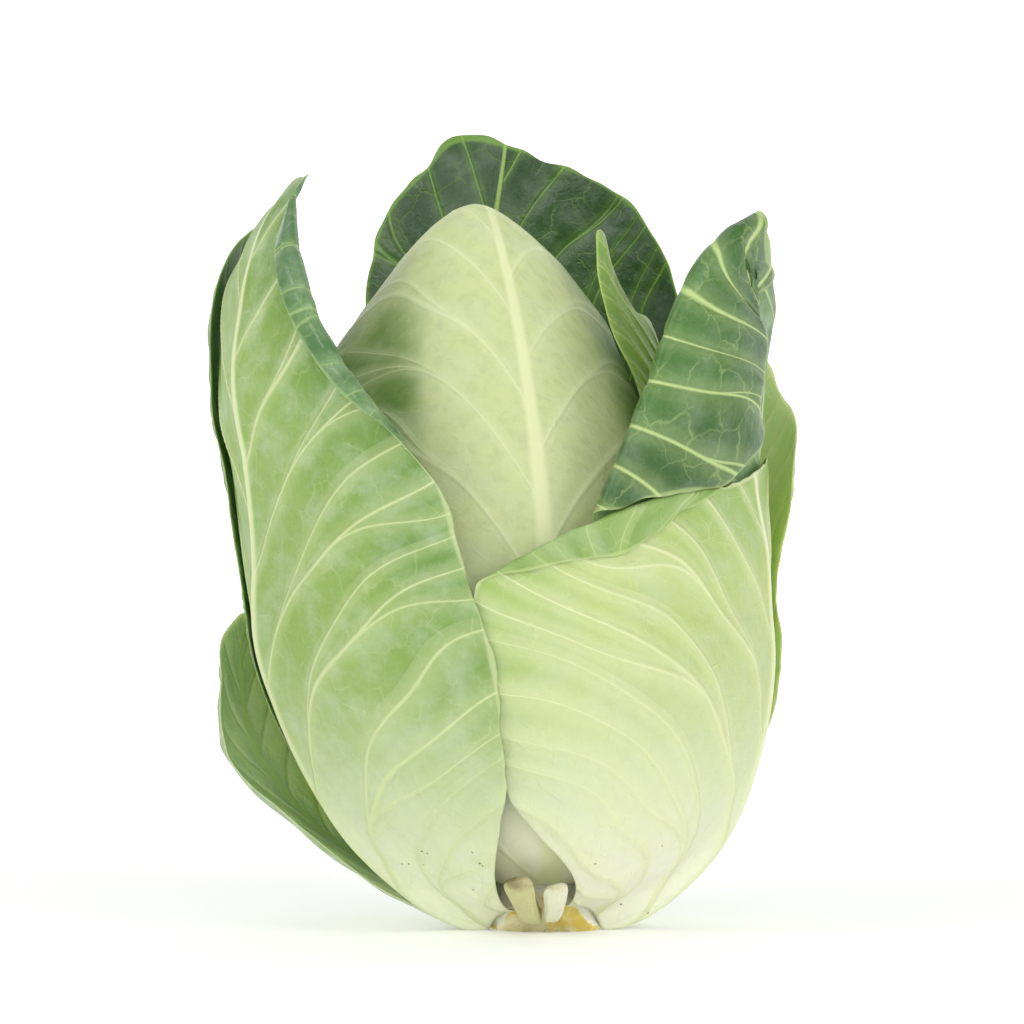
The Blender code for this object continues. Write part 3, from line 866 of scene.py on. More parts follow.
# painted light: the blade and deep colours are paler than the leaf's own green, standing in for the light
# this face lacks in the shade between the outer leaves
MID_INNER = LeafFinish(
    "mid_face", foot=(234, 240, 212), blade=(206, 222, 172), deep=(180, 206, 142), vein=(222, 232, 184),
    rib=(200, 216, 146), foot_reach=0.42, bloom=0.24, roughness=0.4, vein_strength=0.6, net_strength=0.25,
    vein_width=0.9, rib_width=3.6, relief=-0.3, gloss=0.45, soft=0.5,
)
FLAP_INNER = LeafFinish(
    "folded_face", foot=(220, 228, 180), blade=(66, 112, 38), deep=(46, 88, 30), vein=(186, 208, 134),
    rib=(190, 212, 136), foot_reach=0.35, roughness=0.34, vein_strength=0.9, halo=0.2, net_strength=0.25,
    vein_width=2.0, rib_width=4.0, relief=-0.4, gloss=0.5, soft=0.06,
)
DUSKY_INNER = LeafFinish(
    "dusky_face", foot=(222, 230, 190), blade=(122, 152, 108), deep=(96, 130, 84), vein=(170, 196, 136),
    rib=(196, 212, 158), foot_reach=0.42, bloom=0.4, roughness=0.4, net_strength=0.25, vein_width=0.9,
    rib_width=3.6, relief=-0.3, gloss=0.45, soft=0.3,
)
LOW_OUTER = LeafFinish(
    "low_underside", foot=(234, 238, 216), blade=(150, 176, 124), deep=(124, 152, 100),
    vein=(196, 212, 166), rib=(206, 218, 176), foot_reach=0.4, deep_reach=40, bloom=0.5, roughness=0.5,
    vein_strength=0.6, net_strength=0.25, vein_width=0.9, rib_width=5.0, soft=0.5,
)
# painted light: the blade and deep colours are paler than the leaf's own, standing in for the light this
# face lacks where it lies in the head's shade
LOW_INNER = LeafFinish(
    "low_face", foot=(236, 239, 222), blade=(190, 204, 178), deep=(158, 180, 146), vein=(214, 224, 198),
    rib=(190, 208, 150), foot_reach=0.4, deep_reach=40, bloom=0.4, roughness=0.42, vein_strength=0.6,
    net_strength=0.25, relief=-0.3, gloss=0.45, soft=0.5,
)
YOUNG_OUTER = LeafFinish(
    "young_underside", foot=(226, 232, 188), blade=(148, 180, 82), deep=(124, 160, 66),
    vein=(186, 206, 122), rib=(208, 220, 150), bloom=0.1, net_strength=0.15, vein_width=0.7,
    rib_width=4.0, soft=0.3,
)
YOUNG_INNER = LeafFinish(
    "young_face", foot=(218, 228, 170), blade=(104, 146, 56), deep=(78, 120, 44), vein=(160, 192, 92),
    rib=(184, 206, 118), bloom=0.06, net_strength=0.35, vein_width=0.6, relief=-0.25, gloss=0.5, soft=0.3,
)


class LeafKind(Enum):
    """The kinds of leaf, each with the finish of its underside and of its face."""

    HEAD = ("heart_leaf", HEAD_OUTER, HEAD_INNER)
    YOUNG = ("young_leaf", YOUNG_OUTER, YOUNG_INNER)
    WRAPPER = ("wrapper_leaf", WRAP_OUTER, WRAP_INNER)
    DARK = ("outer_leaf", DARK_OUTER, DARK_INNER)
    MID = ("outer_leaf", MID_OUTER, MID_INNER)
    FOLDED = ("outer_leaf", DARK_OUTER, FLAP_INNER)
    LOW = ("outer_leaf", LOW_OUTER, LOW_INNER)
    DUSKY = ("outer_leaf", DARK_OUTER, DUSKY_INNER)
    PALE = ("wrapper_leaf", PALE_OUTER, PALE_INNER)


GROUPS: dict[str, bpy.types.NodeTree] = {}


# ======================================================================================
# Leaves as meshes
# ======================================================================================
class LeafSheet:
    """Builds one leaf's two faces, with its relief, from its drawing."""

    def __init__(self, form: HeadForm, leaf: Leaf) -> None:
        """Keep the head's form and the leaf's drawing."""
        self.form = form
        self.leaf = leaf

    def profile(self) -> tuple[Array, Array]:
        """Radius and height up the midrib of a leaf that stands open at the top."""
        leaf, form = self.leaf, self.form
        low = form.lower(leaf.layer, np.linspace(0, math.pi / 2, PROFILE_POINTS))
        share = np.linspace(0, 1.25, PROFILE_POINTS)[1:]
        out = leaf.opens * share**leaf.opens_power - leaf.closes * share**leaf.closes_power
        up = form.radius(leaf.layer) + out, BULGE_HEIGHT + (leaf.tip - BULGE_HEIGHT) * share
        return np.append(low[0], up[0]), np.append(low[1], up[1])

    def lifted(self, side: Array, along: Array) -> Array:
        """How far each point stands off the leaf's layer."""
        off = np.zeros(np.broadcast(side, along).shape)
        for bump in self.leaf.bumps:
            far = ((side - bump.side) / bump.wide) ** 2 + ((along - bump.along) / bump.tall) ** 2
            off = off + bump.lift * np.exp(-far)
        return off

    def laid(self, side: Array, along: Array) -> Array:
        """Lay flat points round the side of the head, or over its tip if the leaf is domed."""
        leaf, form = self.leaf, self.form
        layer_radius = form.radius(leaf.layer)
        start = math.radians(leaf.azimuth)
        if not leaf.domed:
            radius, height = along_profile(self.profile(), along)
            return form.placed(start + side / layer_radius, radius + self.lifted(side, along), height)
        profile = form.closed(leaf.layer)
        raised = np.arctan2(profile[1] - BULGE_HEIGHT, profile[0])
        length = np.hypot(np.diff(profile[0]), np.diff(profile[1])).sum()
        radius, height = along_profile(profile, length - np.abs(along - length))
        middle = np.arctan2(height - BULGE_HEIGHT, radius)
        middle = np.where(along > length, math.pi - middle, middle)
        turn = side / np.hypot(height - BULGE_HEIGHT, radius)
        front, across, up = np.cos(turn) * np.cos(middle), np.sin(turn), np.cos(turn) * np.sin(middle)
        angle = np.arcsin(np.clip(up, -1, 1))
        radius, height = np.interp(angle, raised, profile[0]), np.interp(angle, raised, profile[1])
        return form.placed(start + np.arctan2(across, front), radius + self.lifted(side, along), height)

    def outward(self, side: Array, along: Array, step: float = NORMAL_STEP) -> Array:
        """Unit normals of the laid surface, pointing away from the head."""
        across = self.laid(side + step, along) - self.laid(side - step, along)
        up = self.laid(side, along + step) - self.laid(side, along - step)
        return unit(np.cross(across, up))

    def turned(self, foot: Array, direction: Array, beyond: Array, radius: float) -> tuple[Array, Array]:
        """Carry points past a crease round a tube on the outside of the leaf, then back over it.

        Args:
            foot: The flat point on the crease beside each point.
            direction: The flat direction across the crease there.
            beyond: How far past the crease each point lies.
            radius: The tube's radius.

        Returns:
            The points and their normals.
        """
        normal = self.outward(foot[..., 0], foot[..., 1])
        base = self.laid(foot[..., 0], foot[..., 1])
        ahead = foot + NORMAL_STEP * direction
        onward = unit(self.laid(ahead[..., 0], ahead[..., 1]) - base)
        angle = np.minimum(beyond / radius, math.pi)[..., None]
        around = base + radius * (onward * np.sin(angle) + normal * (1 - np.cos(angle)))
        back = foot - direction * np.clip(beyond - math.pi * radius, 0, None)[..., None]
        under = self.outward(back[..., 0], back[..., 1])
        over = self.laid(back[..., 0], back[..., 1]) + 2 * radius * under
        bent = angle < math.pi
        turned = normal * np.cos(angle) - onward * np.sin(angle)
        return np.where(bent, around, over), np.where(bent, turned, -under)

    def rim(self) -> tuple[Array, float]:
        """The leaf's even outline, and the distance between its points."""
        curve = smooth_curve(self.leaf.outline, OUTLINE_POINTS)
        return curve, np.linalg.norm(np.diff(curve, axis=0), axis=1).mean()

    def flat(self) -> tuple[Array, Array, Array, Array]:
        """Draw the leaf's grid.

        Returns:
            Its flat points, the direction out of the leaf beside each, the depth of each inside the
            even outline, and the place on that outline as a fractional index.
        """
        columns, rows = self.leaf.grid
        curve, run = self.rim()
        ahead = unit(np.gradient(curve, axis=0))
        out = np.stack([-ahead[:, 1], ahead[:, 0]], axis=1)
        far, seed = np.arange(len(curve)) * run, self.leaf.seed * 10
        wave = Ripple(seed + 1, 30)(far, 0 * far) + 0.4 * Ripple(seed + 2, 9)(far, 0 * far)
        corners = far[[int(share * (len(curve) - 1)) for share in CORNERS]]
        calm = 1 - np.exp(-(((far[:, None] - corners) / CORNER_CALM) ** 2)).max(axis=1)
        wavy = curve + out * (self.leaf.jag * wave * calm * smooth(curve[:, 1], 20, 70))[:, None]
        s, t = np.linspace(0, 1, columns + 1), np.linspace(0, 1, rows + 1)
        s, t = s - 0.3 * np.sin(2 * math.pi * s) / (2 * math.pi), t + 0.12 * np.sin(math.pi * t)
        low, high = CORNERS
        left, right = part_of(wavy, 0, low, t), part_of(wavy, 1, high, t)
        bottom, top = part_of(wavy[[0, -1]], 0, 1, s), part_of(wavy, low, high, s)
        s, t = s[:, None, None], t[None, :, None]
        blend = (1 - t) * bottom[:, None] + t * top[:, None] + (1 - s) * left[None] + s * right[None]
        corners = (1 - s) * ((1 - t) * left[0] + t * left[-1]) + s * ((1 - t) * right[0] + t * right[-1])
        points = blend - corners
        for _ in range(EVENING_ROUNDS):
            across = points[2:, 1:-1] + points[:-2, 1:-1]
            points[1:-1, 1:-1] = (across + points[1:-1, 2:] + points[1:-1, :-2]) / 4
        out, beyond, place = beside(curve, points, int(CORNER_EASE / run))
        return points, out, -beyond, place * run

    def off_rib(self, side: Array, along: Array) -> Array:
        """How far points lie to the right of the midrib."""
        at, off = zip(*self.leaf.veins.midrib)
        even = np.linspace(0, 260, 131)
        line = np.interp(even, at, off)
        line = np.convolve(np.pad(line, 8, "edge"), np.full(17, 1 / 17), "valid")
        return side - np.interp(along, even, line)

    def phase(self, side: Array, along: Array) -> Array:
        """Give a number that is whole along every side vein."""
        v = self.leaf.veins
        off = self.off_rib(side, along)
        away = np.abs(off)
        lift = v.rise * v.bend * (1 - np.exp(-away / v.bend)) + v.tail * away
        wander = v.wander * Ripple(self.leaf.seed * 10 + 3, 55)(side, along) * smooth(away, 4, 30)
        origin = along - lift + wander
        return origin / v.spacing * (1 + 0.15 * origin / 200) + np.where(off > 0, 0.5, 0.0)

    def vein_relief(self, side: Array, along: Array, phase: Array) -> tuple[Array, Array]:
        """Ridge height, from 0 to 1, along the side veins, and the puff between them."""
        v = self.leaf.veins
        off = self.off_rib(side, along)
        away, index = np.abs(off), np.round(phase)
        offset = phase - index
        gap = v.spacing * GAP_SHARE

        def lot(step: float, side_step: float) -> Array:
            """Draw every side vein's own lot, from 0 to 1."""
            return (index * step + np.where(off > 0, side_step, 0) + v.seed + LOT_SHIFT) % 1.0

        ridge = np.exp(-((offset * gap / 1.3) ** 2))
        near = np.abs(offset)
        for step, side_step, first, spread, growth, share in FORKS:
            start = v.unforked + first + spread * lot(step, side_step)
            grown = share * smooth((away - start) / growth, 0, 1)
            ridge = np.maximum(ridge, 0.75 * np.exp(-(((offset - grown) * gap / 1.1) ** 2)))
            near = np.minimum(near, np.abs(offset - grown))
        taper = (1 - 0.65 * smooth(away, 0, VEIN_TAPER)) * (0.4 + 0.8 * lot(*STRENGTH_STEP))
        return ridge * taper, smooth(near, 0.0, 0.3) * smooth(away, 2, 10)

    def rib_height(self, side: Array, along: Array) -> Array:
        """How far the midrib stands out of the leaf's underside."""
        tall, half_width = self.leaf.rib
        left = np.clip(1 - along / self.leaf.length, 0, 1)
        height = tall * left**0.8 + self.leaf.stalk * np.exp(-((along / STALK_REACH) ** 2))
        narrowed = along_profile(self.profile(), along)[0] / self.form.radius(self.leaf.layer)
        real_side = self.off_rib(side, along) * narrowed
        return height * np.exp(-((real_side / (half_width * (0.25 + 0.75 * left))) ** 2))

    def middle(self, flat: Array, out: Array, inside: Array, far: Array) -> tuple[Array, Array]:
        """Lay the leaf's middle surface round the head, folded and rolled but still smooth.

        Args:
            flat: The flat points.
            out: The direction out of the leaf beside each point.
            inside: The depth of each point inside the outline.
            far: How far along the outline each point lies.

        Returns:
            The points in space and their normals.
        """
        leaf = self.leaf
        points = self.laid(flat[..., 0], flat[..., 1])
        normal = self.outward(flat[..., 0], flat[..., 1])
        turns = []
        if leaf.fold:
            left, beyond = leaf.fold.across(flat)
            turns.append((left, beyond, leaf.fold.radius))
        curve, run = self.rim()
        for roll in leaf.rolls:
            start, end = (np.linalg.norm(curve - q, axis=1).argmin() * run for q in (roll.start, roll.end))
            window = np.clip((far - start) / (end - start), 0, 1)
            width = roll.width * np.sin(math.pi * window) ** roll.power
            turns.append((out, width - inside, roll.radius))
        for direction, beyond, radius in turns:
            beyond = np.clip(beyond, 0, None)
            over, facing = self.turned(flat - direction * beyond[..., None], direction, beyond, radius)
            points = np.where(beyond[..., None] > 0, over, points)
            normal = np.where(beyond[..., None] > 0, facing, normal)
        return points, normal

    def mesh(self) -> Mesh:
        """Build the leaf as a closed mesh, its outer face first, with the fields that finishes read."""
        leaf = self.leaf
        flat, out, inside, far = self.flat()
        side, along = flat[..., 0], flat[..., 1]
        points, even = self.middle(flat, out, inside, far)
        inside = np.maximum(inside, 0)
        phase, off = self.phase(side, along), self.off_rib(side, along)
        ridge, puff = self.vein_relief(side, along, phase)
        rise = along / leaf.length
        move = leaf.swell * Ripple(leaf.seed * 10 + 5, 48)(side, along) * smooth(rise, 0.05, 0.3)
        waves = leaf.ruffle * Ripple(leaf.seed * 10 + 4, 30)(far, inside * 0.4)
        move = move + waves * np.exp(-inside / 12) * smooth(rise, 0.35, 0.75)
        move = move + leaf.veins.quilt * (0.5 - puff) * smooth(inside, 0, 6) * smooth(rise, 0.05, 0.35)
        move = np.where(move < 0, INWARD_SHARE * move, move)
        points = points + even * move[..., None]
        normal = grid_normals(points, even)
        thin = leaf.blade / 2 * (0.45 + 0.55 * smooth(inside, 0, 2.5))
        ridge = leaf.veins.ridge * ridge * smooth(inside, 0, 5) * smooth(np.abs(off), 1, 6)
        outer = points + normal * (thin + self.rib_height(side, along) + ridge)[..., None]
        inner = points - normal * (thin - 0.3 * ridge)[..., None]
        for face in (outer, inner):
            face[..., 2] = np.maximum(face[..., 2], TRIM_HEIGHT)
        made = shell_mesh(leaf.name, outer, inner, self.form.unit)
        uv = np.stack([off, along], axis=-1).reshape(-1, 2) / UV_SPAN
        # painted shadow: left of the midrib and below the top, the depth inside the margin is shrunk so the
        # deep green reaches farther in, standing for the rolled leaf's cast shadow; elsewhere it is
        # stretched
        deepened = 1 + leaf.left_green_and_shadow * (0.5 - smooth(-side, -12, 27) * smooth(-rise, -0.9, -0.74))
        depth = np.where(inside > 2, 2 + (inside - 2) * deepened, inside)
        set_fields(made, np.vstack([uv, uv]), dict(zip(FIELDS, (phase, rise, depth))))
        return made

    def build(self, kind: LeafKind) -> Piece:
        """Build the leaf as a piece with both its finishes.

        Args:
            kind: The kind of leaf, for its finishes.

        Returns:
            The finished piece.
        """
        made, name = self.mesh(), self.leaf.name
        slot, underside, face = kind.value
        for finish in (underside, face):
            made.materials.append(finish.material(self.leaf.veins, self.form.unit))
        columns, rows = self.leaf.grid
        index = np.zeros(len(made.polygons), np.int32)
        index[columns * rows : 2 * columns * rows] = 1
        made.polygons.foreach_set("material_index", index)
        return finished(made, name, name)


def shell_mesh(name: str, outer: Array, inner: Array, size: float) -> Mesh:
    """Join two grids of points into one closed mesh.

    Args:
        name: The mesh's name.
        outer: Points of the face that looks away from the head, columns by rows.
        inner: Points of the other face.
        size: Metres in one drawn millimetre.

    Returns:
        The mesh: outer quads first, then inner ones, then the rim.
    """
    columns, rows = outer.shape[:2]
    count = columns * rows
    index = np.arange(count).reshape(columns, rows)
    corners = (index[:-1, :-1], index[1:, :-1], index[1:, 1:], index[:-1, 1:])
    quads = np.stack(corners, axis=-1).reshape(-1, 4)
    rim = np.concatenate([index[:, 0], index[-1, 1:], index[-2::-1, -1], index[0, -2:0:-1]])
    onward = np.roll(rim, -1)
    wall = np.stack([onward, rim, rim + count, onward + count], axis=-1)
    faces = np.vstack([quads, quads[:, ::-1] + count, wall])
    mesh = bpy.data.meshes.new(name)
    points = np.vstack([outer.reshape(-1, 3), inner.reshape(-1, 3)]) * size
    fill_mesh(mesh, points, faces)
    return mesh


def fill_mesh(mesh: Mesh, points: Array, quads: Array) -> None:
    """Fill an empty mesh with points in metres and quads, shaded smooth."""
    mesh.vertices.add(len(points))
    mesh.vertices.foreach_set("co", points.astype(np.float32).ravel())
    mesh.loops.add(quads.size)
    mesh.loops.foreach_set("vertex_index", quads.astype(np.int32).ravel())
    mesh.polygons.add(len(quads))
    mesh.polygons.foreach_set("loop_start", np.arange(0, quads.size, 4, dtype=np.int32))
    mesh.update(calc_edges=True)
    mesh.validate()
    mesh.shade_smooth()


def ring_mesh(name: str, points: Array, ends: Array, size: float) -> Mesh:
    """Close a tube of rings into a smooth mesh.

    Args:
        name: The mesh's name.
        points: Points round the tube, by rings from the lowest up.
        ends: The middles of the lower and the upper end.
        size: Metres in one drawn millimetre.

    Returns:
        The mesh, whose last two vertices are the ends.
    """
    around, rings = points.shape[:2]
    count = around * rings
    index = np.arange(count).reshape(around, rings)
    onward = np.roll(index, -1, axis=0)
    quads = np.stack([index[:, :-1], onward[:, :-1], onward[:, 1:], index[:, 1:]], axis=-1).reshape(-1, 4)
    faces = quads.tolist()
    faces += [[b, a, count] for a, b in zip(index[:, 0].tolist(), onward[:, 0].tolist())]
    faces += [[a, b, count + 1] for a, b in zip(index[:, -1].tolist(), onward[:, -1].tolist())]
    mesh = bpy.data.meshes.new(name)
    places = np.vstack([points.reshape(-1, 3), ends]) * size
    mesh.from_pydata(places.tolist(), [], faces)
    mesh.shade_smooth()
    return mesh


def set_field(mesh: Mesh, name: str, values: Array) -> None:
    """Store a value for each vertex; where a leaf's two faces share them, one face's values do."""
    both = np.resize(np.ravel(values), len(mesh.vertices)).astype(np.float32)
    mesh.attributes.new(name, "FLOAT", "POINT").data.foreach_set("value", both)


def set_fields(mesh: Mesh, uv: Array, fields: dict[str, Array]) -> None:
    """Store a UV map and values on a mesh.

    Args:
        mesh: The mesh.
        uv: One UV place for each vertex.
        fields: Values by name.
    """
    layer = mesh.uv_layers.new(name="flat")
    corner = np.empty(len(mesh.loops), np.int32)
    mesh.loops.foreach_get("vertex_index", corner)
    layer.data.foreach_set("uv", uv[corner].astype(np.float32).ravel())
    for name, values in fields.items():
        set_field(mesh, name, values)


def finished(mesh: Mesh, name: str, node: Optional[str]) -> Piece:
    """Put a mesh in the scene as a piece of the object.

    Args:
        mesh: The piece's mesh, with its place in it.
        name: The piece's name.
        node: The frame's node that it stands for, or None for added detail.

    Returns:
        The piece.
    """
    piece = bpy.data.objects.new(name + "_skin", mesh)
    bpy.context.scene.collection.objects.link(piece)
    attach(piece, "root")
    if node:
        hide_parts(node)
    LOG.info("%s: %d faces", piece.name, len(mesh.polygons))
    return piece


# ======================================================================================
# Sub-assemblies
# ======================================================================================
@dataclass
class ClosedHead:
    """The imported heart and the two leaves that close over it."""

    form: HeadForm
    around: int = 200
    rings: int = 190

    def leaves(self) -> list[Leaf]:
        """Draw the two closed leaves."""
        return [
            Leaf(
                "head_leaf_back", 1, 190, domed=True, rib=(0.2, 8), swell=0.15, ruffle=0.2, seed=11,
                veins=Venation(spacing=26, wander=4.0, ridge=0.16, quilt=0.2, seed=0.31),
                outline=((-18, 0), (-38, 34), (-60, 74), (-68, 112), (-62, 150), (-40, 182), (0, 196),
                         (40, 182), (62, 150), (68, 112), (60, 74), (38, 34), (18, 0)),
            ),
            Leaf(
                "head_leaf_front", 2, -5, domed=True, rib=(0.4, 8), swell=0.25, ruffle=0.3, left_green_and_shadow=1.75,
                seed=12, grid=(150, 210), bumps=(Bump(-62, 190, 26, 40, 9),),
                veins=Venation(
                    spacing=34, rise=1.7, bend=26, tail=0.42, wander=3.0, ridge=0.14, quilt=0.12, seed=0.12,
                    midrib=((0, 4), (60, 12), (110, 15.5), (155, 14), (187, 10.7), (218, 5), (240, 0)),
                ),
                outline=((-20, 0), (-46, 34), (-72, 74), (-84, 115), (-84, 160), (-70, 200), (-40, 232),
                         (-12, 244), (14, 244), (40, 226), (56, 195), (66, 160), (70, 115), (62, 70),
                         (44, 34), (20, 0)),
            ),
        ]

    def heart(self) -> Piece:
        """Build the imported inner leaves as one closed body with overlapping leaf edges."""
        form = self.form
        radius, height = form.closed(0)
        run = np.append(0, np.cumsum(np.hypot(np.diff(radius), np.diff(height))))
        share = np.linspace(0, 1, self.rings) ** 0.9
        stations = share * run[-1] * 0.9985
        r, z = np.interp(stations, run, radius), np.interp(stations, run, height)
        turn = np.linspace(-math.pi, math.pi, self.around, endpoint=False)
        azimuth, along = np.meshgrid(turn, stations, indexing="ij")
        r, z = r[None, :] + 0 * azimuth, z[None, :] + 0 * azimuth
        side = azimuth * form.heart_radius
        edge = self.leaf_edges(azimuth, along / run[-1])
        veins = Venation(spacing=21, seed=0.44)
        sheet = LeafSheet(form, Leaf("heart", 0, 180, outline=((0, 0), (0, run[-1])), veins=veins, seed=13))
        phase = sheet.phase(side, along)
        ridge, _ = sheet.vein_relief(side, along, phase)
        swell = 0.12 * Ripple(131, 40)(side, along)
        out = -0.55 + 0.6 * edge + 0.2 * ridge + swell
        fade = smooth(r, 0, 10)
        points = form.placed(azimuth, np.maximum(r + out * fade, 0.05), z)
        foot = form.foot(0)
        ends = np.array([[LEAN * foot, 0, foot], [LEAN * form.heart_tip, 0, z.max() + 0.1]])
        mesh = ring_mesh("heart", points, ends, form.unit)
        flat = np.stack([side, along], axis=-1).reshape(-1, 2)
        uv = np.vstack([flat, [[0, 0], [0, run[-1]]]]) / UV_SPAN
        phase = np.append(phase, [0, 0])
        rise = np.append(along / run[-1], [0, 1])
        depth = np.append(4 + 30 * (1 - edge), [20, 20])
        set_fields(mesh, uv, dict(zip(FIELDS, (phase, rise, depth))))
        mesh.materials.append(HEAD_OUTER.material(veins, form.unit))
        return finished(mesh, "heart", "heart")

    def leaf_edges(self, azimuth: Array, share: Array) -> Array:
        """Steps, 0 to 1, where one packed leaf ends over the next, running up to the tip."""
        step = np.zeros(azimuth.shape)
        for k, start in enumerate((2.4, -1.9)):
            lean = start + 0.5 * math.sin(2.0 + k) * share + 0.25 * np.sin(5 * share + k)
            off = (azimuth - lean + math.pi) % (2 * math.pi) - math.pi
            step = np.maximum(step, smooth(off, 0.0, 0.03) * smooth(off, 1.7, 0.4))
        return step

    def build(self) -> None:
        """Build the heart and its two leaves."""
        self.heart()
        for leaf in self.leaves():
            LeafSheet(self.form, leaf).build(LeafKind.HEAD)


@dataclass
class OuterLeaves:
    """The leaves that wrap the head and stand open round it."""

    form: HeadForm

    def folded(self) -> Leaf:
        """Draw the leaf whose upper left part is folded outwards."""
        crease = ((-73.6, 128), (-66, 144), (-58.5, 162), (-52.5, 180), (-46, 195), (-38, 204), (-28, 209))
        edge = ((-69, 130.5), (-62, 133.5), (-50, 135.5), (-38, 136), (-26, 143), (-16, 150), (-19, 158),
                (-20, 168), (-22, 180), (-24, 191), (-26, 200), (-28, 206))
        fold = Fold(crease, 2.6)
        return Leaf(
            "folded_leaf", 5, 84, tip=200, opens=20, opens_power=1.8, rib=(0.1, 7), grid=(210, 200),
            fold=fold, swell=0.2, ruffle=0.5, jag=0.5, seed=15,
            veins=Venation(
                spacing=17, rise=0.5, bend=40, tail=0.22, wander=2.0, unforked=70, ridge=0.4, quilt=0.6,
                seed=0.52,
            ),
            outline=((-48, 0), (-60, 50), (-69, 100), (-72, 117), (-74, 127.5), *fold.unfolded(edge),
                     (-27, 211), (-20, 206), (-14, 198), (-8, 188), (0, 178), (16, 164), (34, 142),
                     (42, 100), (46, 50), (44, 0)),
        )

    def drawings(self) -> list[tuple[Leaf, LeafKind]]:
        """Draw every outer leaf, from the innermost to the outermost."""
        return [
            (Leaf(
                "curled_leaf", 3, 91, tip=188, closes=25, closes_power=1.2, rib=(0.3, 6), swell=0.2,
                ruffle=0.4, jag=0.2, seed=14, grid=(90, 170), veins=Venation(spacing=15, seed=0.2),
                outline=((-45, 0), (-46, 50), (-45, 100), (-43, 155), (-46, 174), (-46, 188), (-41, 196),
                         (-34, 202), (-26, 201), (-29, 193), (-31, 186), (-22, 180), (4, 174), (28, 150),
                         (40, 100), (42, 50), (40, 0)),
            ), LeafKind.YOUNG),
            (Leaf(
                "back_leaf", 4, 170, tip=219, opens=5, rib=(0.8, 8), stalk=2.0, ruffle=0.9, seed=16,
                grid=(140, 190),
                veins=Venation(
                    spacing=36, rise=1.9, bend=30, tail=0.75, wander=5.5, quilt=0.8, seed=0.7,
                    midrib=((120, 6), (205, 8), (217, 5), (228, 0)),
                ),
                outline=((-42, 0), (-52, 50), (-62, 105), (-60, 150), (-48, 190), (-33, 212), (-12, 224),
                         (12, 231), (24, 222), (40, 202), (50, 160), (60, 105), (54, 50), (42, 0)),
            ), LeafKind.DARK),
            (self.folded(), LeafKind.FOLDED),
            (Leaf(
                "right_leaf", 6, 76, tip=150, opens=8, rib=(3.0, 6), stalk=4.5, ruffle=0.5, seed=17,
                grid=(190, 190), rolls=(Roll((-101, 114), (-27, 139), 13.0, 1.2),), jag=0.5,
                veins=Venation(
                    spacing=34, rise=1.3, bend=46, wander=2.0, ridge=0.5, quilt=0.6, seed=0.05,
                    midrib=((0, 0), (50, 4), (85, 7), (107, 6), (129, -2), (143, -10)),
                ),
                outline=((-68, 0), (-76, 24), (-98, 50), (-106, 82), (-103, 108), (-92, 127), (-78, 139),
                         (-62, 144.5), (-46, 145), (-36, 142.5), (-27, 139), (-16, 140), (12, 146),
                         (32, 142), (46, 125), (50, 90), (48, 45), (42, 0)),
            ), LeafKind.PALE),
            (Leaf(
                "left_leaf", 7, -74, tip=204, opens=8, opens_power=1.3, closes=30, closes_power=5,
                rib=(2.4, 6), stalk=4.0, swell=0.8, ruffle=0.3, jag=0.4, seed=18, grid=(190, 230),
                rolls=(Roll((8, 233), (77, 141), 12.0, 2.4, 0.8),),
                veins=Venation(
                    spacing=36, rise=1.15, bend=46, wander=2.0, ridge=0.5, quilt=0.7, seed=0.83,
                    midrib=((100, 0), (148, 8), (175, 12), (195, 9), (230, 3)),
                ),
                outline=((-44, 0), (-50, 50), (-60, 100), (-62, 150), (-46, 200), (-18, 228), (4, 234),
                         (26, 225), (50, 199), (68, 165), (76, 143), (79, 126), (84, 105), (85, 64),
                         (70, 26), (56, 0)),
            ), LeafKind.WRAPPER),
            (Leaf(
                "left_back_leaf", 8, -137, tip=204, opens=9, opens_power=1.3, closes=31, closes_power=6,
                rib=(2.0, 7), stalk=3.5, ruffle=0.7, seed=19, grid=(150, 190),
                veins=Venation(
                    spacing=20, ridge=0.6, quilt=0.7, seed=0.61,
                    midrib=((60, 0), (130, 12), (185, 26), (219, 35)),
                ),
                outline=((-28, 0), (-44, 50), (-48, 95), (-38, 128), (-16, 152), (4, 171), (14, 188),
                         (22, 205), (31, 216), (42, 217), (56, 201), (62, 172), (61, 148), (58, 100),
                         (42, 50), (20, 0)),
            ), LeafKind.DUSKY),
            (Leaf(
                "right_back_leaf", 9, 128, tip=176, opens=18, rib=(2.0, 7), stalk=2.5, swell=0.6,
                ruffle=0.6, jag=0.4, seed=20, veins=Venation(spacing=18, ridge=0.6, quilt=0.7, seed=0.27),
                outline=((-26, 0), (-25, 50), (-26, 94), (-31, 120), (-41, 135), (-50, 149), (-46, 162),
                         (-22, 174), (0, 191), (28, 186), (48, 150), (52, 100), (42, 50), (28, 0)),
            ), LeafKind.MID),
            (Leaf(
                "low_leaf", 10, -106, tip=120, opens=2, rib=(1.2, 6), stalk=1.2, ruffle=0.7, jag=0.4,
                seed=21, grid=(110, 120), bumps=(Bump(18, 74, 28, 26, 13),),
                veins=Venation(spacing=15, ridge=0.5, quilt=0.6, seed=0.9),
                outline=((-12, 0), (-36, 40), (-46, 76), (-38, 104), (-14, 114), (6, 112), (20, 98),
                         (27, 80), (26, 66), (30, 56), (26, 38), (18, 18), (12, 0)),
            ), LeafKind.LOW),
        ]

    def build(self) -> list[Piece]:
        """Build every outer leaf and return the pieces."""
        return [LeafSheet(self.form, leaf).build(kind) for leaf, kind in self.drawings()]


